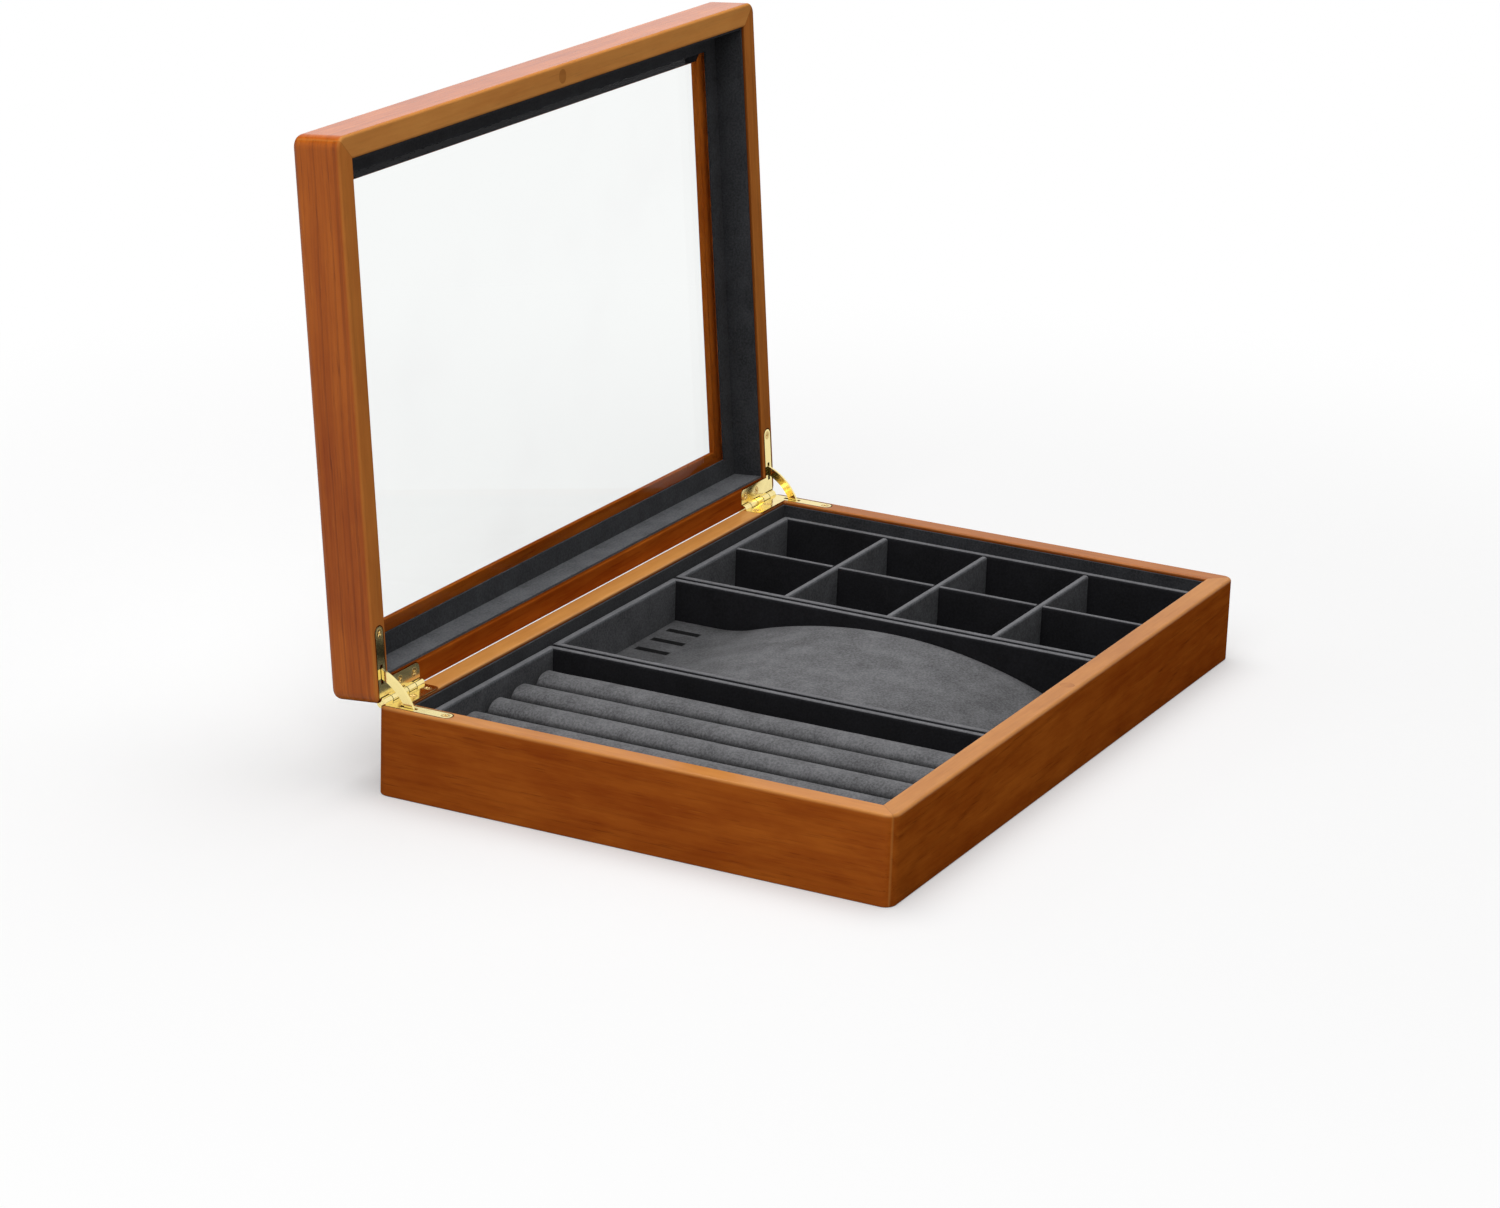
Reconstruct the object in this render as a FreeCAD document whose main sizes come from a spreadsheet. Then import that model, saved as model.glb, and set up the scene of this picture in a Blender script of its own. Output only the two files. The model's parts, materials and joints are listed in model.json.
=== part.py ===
import FreeCAD, Part
import os

# Wooden jewelry box: a glass-lidded case on two quadrant stop hinges, with three lift-in trays.
# Frame: millimetres, +X along the hinge line, +Y from front to back, +Z up, and the origin at the
# centre of the underside. Lid and stays are drawn shut, then swung open about the hinge axis.

DIMENSIONS = {
    # Case
    "box_length": 350,
    "box_depth": 230,
    "base_height": 38,
    "lid_height": 22,
    "parting_gap": 0.2,
    "wall_thick": 10,
    "corner_round": 5,
    "rim_round": 1.2,
    "foot_round": 0.8,
    "panel_thick": 4,
    "panel_lap": 5,
    "panel_clear": 0.2,
    "lining_thick": 1,
    "lining_drop": 1.5,
    # Lid top and glass
    "frame_width": 24,
    "frame_thick": 6,
    "lid_top_round": 3,
    "sight_round": 0.8,
    "glass_thick": 3,
    "glass_lap": 7,
    "glass_clear": 0.3,
    "strip_thick": 1,
    "strip_reach": 10,
    # Hinge leaves, barrel and pin
    "open_angle": 95,
    "hinge_inset": 0.45,
    "barrel_start": 3,
    "barrel_length": 30,
    "barrel_radius": 2.1,
    "knuckle_gap": 0.4,
    "knuckle_clear": 0.3,
    "pin_radius": 1,
    "pin_clear": 0.05,
    "leaf_thick": 1.2,
    "leaf_back_width": 9,
    "leaf_arm_width": 5.6,
    "leaf_arm_length": 31.5,
    "leaf_tip_round": 2.6,
    "leaf_corner_round": 2.5,
    "leaf_clear": 0.4,
    # Stay, its stop pins and its mortises
    "stay_reach": 9.7,
    "stay_bow_radius": 25,
    "stay_width": 3.6,
    "stay_thick": 1.2,
    "stay_clear": 0.35,
    "stay_overlap_angle": 14,
    "stay_spare_angle": 2.5,
    "stop_pin_radius": 0.7,
    "stop_pin_length": 3,
    "stop_pin_angle": 4.5,
    # Hinge screws
    "screw_head_radius": 1.9,
    "screw_head_depth": 1,
    "screw_radius": 0.9,
    "screw_length": 8,
    "screw_clear": 0.05,
    "screw_row": 5.6,
    "screw_end_inset": 4,
    "screw_spacing": 11,
    # Closing magnets
    "magnet_radius": 3,
    "magnet_thick": 2.5,
    "magnet_clear": 0.05,
    "plug_thick": 1.2,
    # Trays
    "tray_drop": 6.5,
    "tray_wall": 3.6,
    "tray_floor": 2,
    "tray_corner_round": 1.5,
    "tray_edge_round": 1.2,
    "tray_clear": 0.6,
    "tray_gap": 1.4,
    # Ring rolls
    "roll_gap": 0.3,
    "roll_press": 0.47,
    "roll_sink": 1.2,
    "roll_end_gap": 0.5,
    "roll_end_round": 1.5,
    # Necklace pad
    "pad_clear": 0.3,
    "pad_low": 6.5,
    "pad_crest": 19.6,
    "pad_front_gap": 9.5,
    "pad_crest_forward": 5,
    "pad_hump_radius": 210,
    "pad_hollow_radius": 57,
    "slit_width": 3.6,
    "slit_length": 15.5,
    "slit_depth": 4.5,
    "slit_inset": 4,
    "slit_spacing": 14.4,
    # Compartment dividers
    "divider_thick": 3,
    "divider_drop": 0.5,
    "divider_round": 1.2,
    "divider_clear": 0.1,
    # Length by which a cutting tool passes a face
    "overrun": 5,
}

KNUCKLES = 5
ROLLS = 5
SLITS = 6
COMPARTMENT_ROWS = 4
TRAY_PLACES = {"ring_tray": -1, "necklace_tray": 0, "compartment_tray": 1}
SIDES = ("front", "right", "back", "left")
STAY_TURN_SHARE = 0.5
TOLERANCE_SHARE = 1e-6

# Places worked out from the driving dimensions, as expressions
HALF_X = "(dims.box_length / 2)"
HALF_Y = "(dims.box_depth / 2)"
CAVITY_X = f"({HALF_X} - dims.wall_thick)"
CAVITY_Y = f"({HALF_Y} - dims.wall_thick)"
BASE_RIM = "(dims.base_height - dims.parting_gap / 2)"
LID_RIM = "(dims.base_height + dims.parting_gap / 2)"
LID_TOP = "(dims.base_height + dims.lid_height)"
CEILING = f"({LID_TOP} - dims.frame_thick)"
SIGHT_X = f"({HALF_X} - dims.frame_width)"
SIGHT_Y = f"({HALF_Y} - dims.frame_width)"
AXIS_Y = f"({HALF_Y} - dims.hinge_inset)"
AXIS_Z = "dims.base_height"
ARM_X = f"({HALF_X} - dims.wall_thick / 2)"
ARM_TIP_Y = f"({AXIS_Y} - dims.leaf_arm_length + dims.leaf_arm_width / 2)"
BARREL_LOW = f"(-{HALF_X} + dims.barrel_start)"
BARREL_HIGH = f"({BARREL_LOW} + dims.barrel_length)"
KNUCKLE = f"((dims.barrel_length - {KNUCKLES - 1} * dims.knuckle_gap) / {KNUCKLES})"
STAY_SETBACK = "(dims.stay_bow_radius - dims.stay_reach)"
STAY_CENTRE_Y = f"({AXIS_Y} + {STAY_SETBACK})"
STAY_END_ANGLE = "(dims.open_angle / 2 + dims.stay_overlap_angle)"
FRONT_MIDDLE_Y = f"(-{HALF_Y} + dims.wall_thick / 2)"
TRAY_X = (f"((2 * ({CAVITY_X} - dims.lining_thick - dims.tray_clear)"
          f" - {len(TRAY_PLACES) - 1} * dims.tray_gap) / {len(TRAY_PLACES)})")
TRAY_Y = f"({CAVITY_Y} - dims.lining_thick - dims.tray_clear)"
TRAY_LOW = "(dims.panel_thick + dims.lining_thick)"
TRAY_TOP = "(dims.base_height - dims.tray_drop)"
TRAY_FLOOR_TOP = f"({TRAY_LOW} + dims.tray_floor)"
TRAY_INNER_X = f"({TRAY_X} / 2 - dims.tray_wall)"
TRAY_INNER_Y = f"({TRAY_Y} - dims.tray_wall)"
TRAY_CENTRES = {tray: f"({place} * ({TRAY_X} + dims.tray_gap))" for tray, place in TRAY_PLACES.items()}


def bow_angle(hinge_angle):
    """The angle about the stay's own centre at which its middle line reaches an angle about the hinge."""
    turn = f"({hinge_angle} * 1 deg)"
    return f"({turn} - asin({STAY_SETBACK} * sin({turn}) / dims.stay_bow_radius))"


STAY_BOW = bow_angle(STAY_END_ANGLE)
STOP_BOW = bow_angle(f"({STAY_END_ANGLE} - dims.stop_pin_angle)")
BOW_OUTER = "(dims.stay_bow_radius + dims.stay_width / 2)"
BOW_INNER = "(dims.stay_bow_radius - dims.stay_width / 2)"
MORTISE_FAR = (f"(sqrt({STAY_SETBACK} ^ 2 + {BOW_OUTER} ^ 2 - 2 * {STAY_SETBACK} * {BOW_OUTER}"
               f" * cos({STAY_BOW})) + dims.stay_clear)")
MORTISE_NEAR = "(dims.stay_reach - dims.stay_width / 2 - dims.stay_clear)"
MORTISE_Y = (f"{AXIS_Y} - {MORTISE_FAR}", f"{AXIS_Y} - {MORTISE_NEAR}")
MORTISE_ANGLE = (f"(atan({BOW_INNER} * sin({STAY_BOW}) / ({BOW_INNER} * cos({STAY_BOW}) - {STAY_SETBACK}))"
                 f" + dims.stay_spare_angle * 1 deg)")

doc = FreeCAD.newDocument("jewelry_box")
sheet = doc.addObject("Spreadsheet::Sheet", "dims")
for row, (alias, number) in enumerate(DIMENSIONS.items(), 1):
    sheet.set(f"A{row}", alias)
    sheet.set(f"B{row}", str(number))
    sheet.setAlias(f"B{row}", alias)
doc.recompute()

X_AXIS = FreeCAD.Vector(1, 0, 0)
Y_AXIS = FreeCAD.Vector(0, 1, 0)
Z_AXIS = FreeCAD.Vector(0, 0, 1)
ORIGIN = FreeCAD.Vector(0, 0, 0)
ALONG_X = FreeCAD.Rotation(Y_AXIS, 90)
ALONG_Y = FreeCAD.Rotation(X_AXIS, -90)
TOLERANCE = TOLERANCE_SHARE * sheet.box_length
nodes = []


def number_of(expression):
    """The present value of an expression on the sheet's aliases."""
    return float(sheet.evalExpression(expression))


def bind(thing, expressions):
    for path, expression in expressions.items():
        thing.setExpression(path, expression)
    return thing


def node(thing, name):
    thing.Label = name
    nodes.append(thing)
    return thing


def span(half, centre="0"):
    """A range that lies evenly about a centre."""
    return f"{centre} - {half}", f"{centre} + {half}"


def set_block(box, x, y, z):
    """Size and place a box by its range on each axis."""
    for axis, side, (low, high) in zip("xyz", ("Length", "Width", "Height"), (x, y, z)):
        bind(box, {f"Placement.Base.{axis}": low, side: f"({high}) - ({low})"})
    return box


def add_block(body, name, x, y, z):
    return set_block(body.newObject("PartDesign::AdditiveBox", name), x, y, z)


def cut_block(body, name, x, y, z):
    return set_block(body.newObject("PartDesign::SubtractiveBox", name), x, y, z)


def new_body(name):
    return doc.addObject("PartDesign::Body", name)


def board(name, x, y, z):
    """A plain board, as a body of one block."""
    body = new_body(name)
    add_block(body, name + "_stock", x, y, z)
    return node(body, name)


def box(name, x, y, z):
    return set_block(doc.addObject("Part::Box", name), x, y, z)


def set_cylinder(cylinder, x, y, low, high, radius):
    """Size and place an upright cylinder by its axis and its range of height."""
    return bind(cylinder, {
        "Placement.Base.x": x, "Placement.Base.y": y, "Placement.Base.z": low,
        "Height": f"({high}) - ({low})", "Radius": radius})


def disc(name, x, y, low, high, radius):
    """A plain upright disc, as a body of one cylinder."""
    body = new_body(name)
    set_cylinder(body.newObject("PartDesign::AdditiveCylinder", name + "_stock"), x, y, low, high, radius)
    return node(body, name)


def upright_cylinder(name, x, y, low, high, radius):
    return set_cylinder(doc.addObject("Part::Cylinder", name), x, y, low, high, radius)


def cross_cylinder(name, low, high, y, z, radius):
    """A cylinder whose axis runs along X."""
    cylinder = doc.addObject("Part::Cylinder", name)
    cylinder.Placement = FreeCAD.Placement(ORIGIN, ALONG_X)
    return bind(cylinder, {
        "Placement.Base.x": low, "Placement.Base.y": y, "Placement.Base.z": z,
        "Height": f"({high}) - ({low})", "Radius": radius})


def fuse(name, things):
    joined = doc.addObject("Part::MultiFuse", name)
    joined.Shapes = things
    return joined


def cut(name, base, tool):
    result = doc.addObject("Part::Cut", name)
    result.Base = base
    result.Tool = tool
    return result


def common(name, base, tool):
    result = doc.addObject("Part::Common", name)
    result.Base = base
    result.Tool = tool
    return result


def mirror(name, source):
    """The right-hand twin of a left-hand thing."""
    twin = doc.addObject("Part::Mirroring", name)
    twin.Source = source
    twin.Base = ORIGIN
    twin.Normal = X_AXIS
    return twin


def group(name, things):
    """Several like solids under one name."""
    bundle = doc.addObject("Part::Compound", name)
    bundle.Links = things
    return bundle


def arc_bar(name, x, y, centre_y, angle):
    """A rectangle of the parting plane, turned evenly up and down about an axis along X in that plane."""
    section = bind(doc.addObject("Part::Plane", name + "_section"), {
        "Placement.Base.x": x[0], "Placement.Base.y": y[0], "Placement.Base.z": AXIS_Z,
        "Length": f"({x[1]}) - ({x[0]})", "Width": f"({y[1]}) - ({y[0]})"})
    bar = doc.addObject("Part::Revolution", name)
    bar.Source = section
    bar.Axis = X_AXIS
    bar.Solid = True
    bar.Symmetric = True
    return bind(bar, {"Base.y": centre_y, "Base.z": AXIS_Z, "Angle": angle})


def swing(thing, turn_share=1):
    """Turn a thing that was drawn shut about the hinge axis, by a share of the opening angle."""
    angle = f"({turn_share} * dims.open_angle * 1 deg)"
    thing.Placement = FreeCAD.Placement(ORIGIN, FreeCAD.Rotation(-X_AXIS, turn_share * sheet.open_angle))
    return bind(thing, {
        "Placement.Rotation.Angle": angle,
        "Placement.Base.y": f"{AXIS_Y} - ({AXIS_Y} * cos({angle}) + {AXIS_Z} * sin({angle}))",
        "Placement.Base.z": f"{AXIS_Z} - ({AXIS_Z} * cos({angle}) - {AXIS_Y} * sin({angle}))"})


def round_edges(body, name, radius, chosen):
    """Fillet the edges of a body's last feature that pass a test."""
    doc.recompute()
    tip = body.Tip
    fillet = body.newObject("PartDesign::Fillet", name)
    fillet.Base = (tip, [f"Edge{i}" for i, edge in enumerate(tip.Shape.Edges, 1) if chosen(edge)])
    fillet.setExpression("Radius", radius)


def level_at(height):
    """A test for edges that lie flat at a height."""
    level = number_of(height)
    return lambda edge: max(abs(edge.BoundBox.ZMin - level), abs(edge.BoundBox.ZMax - level)) < TOLERANCE


def outside(half_x, half_y):
    """A test for edges whose middle lies outside a rectangle about the origin."""
    reach_x = number_of(half_x) + TOLERANCE
    reach_y = number_of(half_y) + TOLERANCE
    return lambda edge: abs(edge.CenterOfMass.x) > reach_x or abs(edge.CenterOfMass.y) > reach_y


def upright(edge):
    return edge.BoundBox.ZLength > max(edge.BoundBox.XLength, edge.BoundBox.YLength)


def upright_at(**places):
    """A test for upright edges at a given x, y or both."""
    wanted = {axis: number_of(place) for axis, place in places.items()}
    return lambda edge: upright(edge) and all(
        abs(getattr(edge.CenterOfMass, axis) - place) < TOLERANCE for axis, place in wanted.items())


def mitred_sides(name, ring, half_x, half_y, reach, z, centre="0"):
    """Part a rectangular ring into four sides along planes through its corners at 45 degrees."""
    sides = {}
    for quarter, side in enumerate(SIDES):
        along, across = (half_y, half_x) if side in ("left", "right") else (half_x, half_y)
        wedge = doc.addObject("Part::Wedge", f"{name}_{side}_mitre")
        wedge.Placement = FreeCAD.Placement(ORIGIN, FreeCAD.Rotation(Z_AXIS, 90 * quarter))
        bind(wedge, {
            "Placement.Base.x": centre,
            "Xmin": f"-({along} + dims.overrun)", "Xmax": f"{along} + dims.overrun",
            "X2min": f"-({along} - {reach})", "X2max": f"{along} - {reach}",
            "Ymin": f"-({across} + dims.overrun)", "Ymax": f"-({across} - {reach})",
            "Zmin": z[0], "Zmax": z[1], "Z2min": z[0], "Z2max": z[1]})
        sides[side] = common(f"{name}_{side}_side", ring, wedge)
    return sides


# Screw places, leaves and pockets of the left hinge, drawn shut
SCREW_PLACES = [
    (ARM_X, ARM_TIP_Y),
    (f"({HALF_X} - dims.barrel_start - dims.barrel_length + dims.screw_end_inset)",
     f"({AXIS_Y} - dims.screw_row)"),
    (f"({HALF_X} - dims.barrel_start - dims.barrel_length + dims.screw_end_inset + dims.screw_spacing)",
     f"({AXIS_Y} - dims.screw_row)"),
]


def leaf_plate(name, grow, z):
    """The L-shaped plate: one arm with a round tip along the side rim, one along the back rim."""
    tip_y = f"({AXIS_Y} - dims.leaf_arm_length - {grow})"
    back_y = f"({AXIS_Y} - dims.leaf_back_width - {grow})"
    end_x = f"({BARREL_HIGH} + {grow})"
    plate = new_body(name)
    add_block(plate, name + "_arm", span(f"(dims.leaf_arm_width / 2 + {grow})", f"-{ARM_X}"),
              (tip_y, f"{AXIS_Y} - dims.barrel_radius"), z)
    add_block(plate, name + "_back", (f"{BARREL_LOW} - {grow}", end_x), (back_y, AXIS_Y), z)
    round_edges(plate, name + "_tip", f"dims.leaf_tip_round + {grow}", upright_at(y=tip_y))
    round_edges(plate, name + "_end", f"dims.leaf_corner_round + {grow}", upright_at(x=end_x, y=back_y))
    return plate


def knuckle(name, index, grow_length, radius):
    low = f"({BARREL_LOW} + {index} * ({KNUCKLE} + dims.knuckle_gap))"
    return cross_cylinder(name, f"{low} - {grow_length}", f"{low} + {KNUCKLE} + {grow_length}",
                          AXIS_Y, AXIS_Z, radius)


def screw_bore(name, x, y, face, into):
    """The straight hole for one screw, wider and deeper than the screw by its clearance."""
    return upright_cylinder(name, x, y, *depth_range(face, into, "(dims.screw_length + dims.screw_clear)"),
                            "dims.screw_radius + dims.screw_clear")


def depth_range(face, into, depth):
    """The range from a face down (into -1) or up (into +1) by a depth."""
    return (f"{face} - {depth}", face) if into < 0 else (face, f"{face} + {depth}")


def screw_cone(name, x, y, face, into, grow):
    low, high = depth_range(face, into, "dims.screw_head_depth")
    radii = (f"dims.screw_radius + {grow}", f"dims.screw_head_radius + {grow}")
    narrow_first = radii if into < 0 else radii[::-1]
    return bind(doc.addObject("Part::Cone", name), {
        "Placement.Base.x": x, "Placement.Base.y": y, "Placement.Base.z": low,
        "Height": f"({high}) - ({low})", "Radius1": narrow_first[0], "Radius2": narrow_first[1]})


def hinge_leaf(name, face, into, own_knuckles):
    """A left leaf: plate and own knuckles, less the other leaf's knuckles, pin, stay slot and screw holes."""
    solid = [leaf_plate(name + "_plate", "0", depth_range(face, into, "dims.leaf_thick"))]
    voids = [cross_cylinder(name + "_pin_bore", f"{BARREL_LOW} - dims.overrun",
                            f"{BARREL_HIGH} + dims.overrun", AXIS_Y, AXIS_Z,
                            "dims.pin_radius + dims.pin_clear")]
    for index in range(KNUCKLES):
        if index in own_knuckles:
            solid.append(knuckle(f"{name}_knuckle_{index + 1}", index, "0", "dims.barrel_radius"))
        else:
            voids.append(knuckle(f"{name}_clear_{index + 1}", index, "dims.knuckle_gap",
                                 "dims.barrel_radius + dims.knuckle_clear"))
    voids.append(box(name + "_stay_slot", span("(dims.stay_thick / 2 + dims.stay_clear)", f"-{ARM_X}"),
                     MORTISE_Y, span("dims.overrun", face)))
    for index, (x, y) in enumerate(SCREW_PLACES, 1):
        voids.append(screw_bore(f"{name}_bore_{index}", f"-{x}", y, face, into))
        voids.append(screw_cone(f"{name}_sink_{index}", f"-{x}", y, face, into, "dims.screw_clear"))
    return cut(name, fuse(name + "_solid", solid), fuse(name + "_voids", voids))


def hinge_pocket(name, face, into):
    """What a left leaf, its barrel, its stay and its screws take out of the walls of base or lid."""
    low, high = depth_range(face, into, "dims.leaf_thick")
    past = (low, f"{face} + dims.overrun") if into < 0 else (f"{face} - dims.overrun", high)
    tools = [leaf_plate(name + "_seat", "dims.leaf_clear", past)]
    tools.append(cross_cylinder(name + "_groove", f"{BARREL_LOW} - dims.knuckle_clear",
                                f"{BARREL_HIGH} + dims.knuckle_clear", AXIS_Y, AXIS_Z,
                                "dims.barrel_radius + dims.knuckle_clear"))
    tools.append(arc_bar(name + "_mortise", span("(dims.stop_pin_length / 2 + dims.stay_clear)", f"-{ARM_X}"),
                         MORTISE_Y, AXIS_Y, f"2 * {MORTISE_ANGLE}"))
    for index, (x, y) in enumerate(SCREW_PLACES, 1):
        tools.append(screw_bore(f"{name}_bore_{index}", f"-{x}", y, face, into))
    return fuse(name, tools)


def hinge_screws(name, face, into):
    """Countersunk screws of both leaves on one half of the box."""
    screws = []
    for side, sign in (("left", "-"), ("right", "")):
        for index, (x, y) in enumerate(SCREW_PLACES, 1):
            part_name = f"{name}_{side}_{index}"
            shank = upright_cylinder(part_name + "_shank", sign + x, y,
                                     *depth_range(face, into, "dims.screw_length"), "dims.screw_radius")
            head = screw_cone(part_name + "_head", sign + x, y, face, into, "0")
            screws.append(fuse(part_name, [shank, head]))
    return node(group(name, screws), name)


def magnet_set(prefix, face, into):
    """A magnet and the wooden plug over it, in a bore at the middle of the front rim."""
    deep = "(dims.plug_thick + dims.magnet_thick)"
    plug_face = f"({face} {'-' if into < 0 else '+'} dims.plug_thick)"
    plug = disc(prefix + "_magnet_plug", "0", FRONT_MIDDLE_Y,
                *depth_range(face, into, "dims.plug_thick"), "dims.magnet_radius")
    magnet = disc(prefix + "_magnet", "0", FRONT_MIDDLE_Y,
                  *depth_range(plug_face, into, "dims.magnet_thick"), "dims.magnet_radius")
    bore = upright_cylinder(prefix + "_magnet_bore", "0", FRONT_MIDDLE_Y, *depth_range(face, into, deep),
                            "dims.magnet_radius + dims.magnet_clear")
    return magnet, plug, bore


# Base: a rounded ring with a rabbet for the bottom panel, parted at the mitres
base_ring = new_body("base_ring")
add_block(base_ring, "base_stock", span(HALF_X), span(HALF_Y), ("0", BASE_RIM))
round_edges(base_ring, "base_corners", "dims.corner_round", upright)
cut_block(base_ring, "base_cavity", span(CAVITY_X), span(CAVITY_Y),
          ("-dims.overrun", f"{BASE_RIM} + dims.overrun"))
cut_block(base_ring, "panel_rabbet", span(f"({CAVITY_X} + dims.panel_lap)"),
          span(f"({CAVITY_Y} + dims.panel_lap)"), ("-dims.overrun", "dims.panel_thick"))
round_edges(base_ring, "base_rim", "dims.rim_round", level_at(BASE_RIM))
at_foot = level_at("0")
past_rabbet = outside(f"{CAVITY_X} + dims.panel_lap", f"{CAVITY_Y} + dims.panel_lap")
round_edges(base_ring, "base_foot", "dims.foot_round", lambda edge: at_foot(edge) and past_rabbet(edge))
base_sides = mitred_sides("base", base_ring, HALF_X, HALF_Y, "(dims.wall_thick + dims.overrun)",
                          ("-dims.overrun", f"{BASE_RIM} + dims.overrun"))

base_pocket = hinge_pocket("base_hinge_pocket", BASE_RIM, -1)
base_pocket_right = mirror("base_hinge_pocket_right", base_pocket)
base_magnet, base_plug, base_bore = magnet_set("base", BASE_RIM, -1)
node(cut("base_front_wall", base_sides["front"], base_bore), "base_front_wall")
base_back_half = cut("base_back_half", base_sides["back"], base_pocket)
node(cut("base_back_wall", base_back_half, base_pocket_right), "base_back_wall")
node(cut("base_left_wall", base_sides["left"], base_pocket), "base_left_wall")
node(cut("base_right_wall", base_sides["right"], base_pocket_right), "base_right_wall")

board("bottom_panel", span(f"({CAVITY_X} + dims.panel_lap - dims.panel_clear)"),
      span(f"({CAVITY_Y} + dims.panel_lap - dims.panel_clear)"), ("0", "dims.panel_thick"))


def wall_linings(prefix, z):
    """Velvet-covered card on the four inner walls: long ones in front and behind, short ones between."""
    face_x = f"({CAVITY_X} - dims.lining_thick)"
    face_y = f"({CAVITY_Y} - dims.lining_thick)"
    return [board(f"{prefix}_front_lining", span(CAVITY_X), (f"-{CAVITY_Y}", f"-{face_y}"), z),
            board(f"{prefix}_back_lining", span(CAVITY_X), (face_y, CAVITY_Y), z),
            board(f"{prefix}_left_lining", (f"-{CAVITY_X}", f"-{face_x}"), span(face_y), z),
            board(f"{prefix}_right_lining", (face_x, CAVITY_X), span(face_y), z)]


wall_linings("base", ("dims.panel_thick", f"{BASE_RIM} - dims.lining_drop"))
board("floor_lining", span(f"({CAVITY_X} - dims.lining_thick)"), span(f"({CAVITY_Y} - dims.lining_thick)"),
      ("dims.panel_thick", TRAY_LOW))

# Hinges: leaves with alternating knuckles on one pin each side
base_leaf = hinge_leaf("left_hinge_base_leaf", BASE_RIM, -1, range(0, KNUCKLES, 2))
node(base_leaf, "left_hinge_base_leaf")
node(mirror("right_hinge_base_leaf", base_leaf), "right_hinge_base_leaf")
left_pin = cross_cylinder("left_pin", BARREL_LOW, BARREL_HIGH, AXIS_Y, AXIS_Z, "dims.pin_radius")
node(group("hinge_pins", [left_pin, mirror("right_pin", left_pin)]), "hinge_pins")
hinge_screws("base_hinge_screws", BASE_RIM, -1)

# Lid: an L-section ring with a glass rabbet, parted at the mitres
lid_ring = new_body("lid_ring")
add_block(lid_ring, "lid_stock", span(HALF_X), span(HALF_Y), (LID_RIM, LID_TOP))
round_edges(lid_ring, "lid_corners", "dims.corner_round", upright)
cut_block(lid_ring, "lid_sight", span(SIGHT_X), span(SIGHT_Y),
          (f"{LID_RIM} - dims.overrun", f"{LID_TOP} + dims.overrun"))
cut_block(lid_ring, "lid_cavity", span(CAVITY_X), span(CAVITY_Y), (f"{LID_RIM} - dims.overrun", CEILING))
cut_block(lid_ring, "glass_rabbet", span(f"({SIGHT_X} + dims.glass_lap)"),
          span(f"({SIGHT_Y} + dims.glass_lap)"),
          (f"{LID_RIM} - dims.overrun", f"{CEILING} + dims.glass_thick"))
round_edges(lid_ring, "lid_rim", "dims.rim_round", level_at(LID_RIM))
at_top = level_at(LID_TOP)
past_sight = outside(SIGHT_X, SIGHT_Y)
round_edges(lid_ring, "lid_shoulder", "dims.lid_top_round", lambda edge: at_top(edge) and past_sight(edge))
round_edges(lid_ring, "lid_sight_edge", "dims.sight_round",
            lambda edge: at_top(edge) and abs(edge.CenterOfMass.x) < number_of(SIGHT_X) + TOLERANCE
            and abs(edge.CenterOfMass.y) < number_of(SIGHT_Y) + TOLERANCE)
lid_sides = mitred_sides("lid", lid_ring, HALF_X, HALF_Y, "(dims.frame_width + dims.overrun)",
                         (f"{LID_RIM} - dims.overrun", f"{LID_TOP} + dims.overrun"))

lid_pocket = hinge_pocket("lid_hinge_pocket", LID_RIM, 1)
lid_pocket_right = mirror("lid_hinge_pocket_right", lid_pocket)
lid_magnet, lid_plug, lid_bore = magnet_set("lid", LID_RIM, 1)
lid_back_half = cut("lid_back_half", lid_sides["back"], lid_pocket)
lid_rails = [
    node(cut("lid_front_rail", lid_sides["front"], lid_bore), "lid_front_rail"),
    node(cut("lid_back_rail", lid_back_half, lid_pocket_right), "lid_back_rail"),
    node(cut("lid_left_rail", lid_sides["left"], lid_pocket), "lid_left_rail"),
    node(cut("lid_right_rail", lid_sides["right"], lid_pocket_right), "lid_right_rail"),
]
glass = board("glass_pane", span(f"({SIGHT_X} + dims.glass_lap - dims.glass_clear)"),
              span(f"({SIGHT_Y} + dims.glass_lap - dims.glass_clear)"),
              (CEILING, f"{CEILING} + dims.glass_thick"))
STRIP_Z = (f"{CEILING} - dims.strip_thick", CEILING)
STRIP_X = f"({CAVITY_X} - dims.strip_reach)"
STRIP_Y = f"({CAVITY_Y} - dims.strip_reach)"
glass_strips = [
    board("front_glass_strip", span(CAVITY_X), (f"-{CAVITY_Y}", f"-{STRIP_Y}"), STRIP_Z),
    board("back_glass_strip", span(CAVITY_X), (STRIP_Y, CAVITY_Y), STRIP_Z),
    board("left_glass_strip", (f"-{CAVITY_X}", f"-{STRIP_X}"), span(STRIP_Y), STRIP_Z),
    board("right_glass_strip", (STRIP_X, CAVITY_X), span(STRIP_Y), STRIP_Z),
]
lid_linings = wall_linings("lid", (f"{LID_RIM} + dims.lining_drop", f"{CEILING} - dims.strip_thick"))
lid_leaf = hinge_leaf("left_hinge_lid_leaf", LID_RIM, 1, range(1, KNUCKLES, 2))
node(lid_leaf, "left_hinge_lid_leaf")
lid_screws = hinge_screws("lid_hinge_screws", LID_RIM, 1)
for piece in lid_rails + glass_strips + lid_linings + [glass, lid_leaf, lid_screws, lid_magnet, lid_plug]:
    swing(piece)
node(mirror("right_hinge_lid_leaf", lid_leaf), "right_hinge_lid_leaf")

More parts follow.
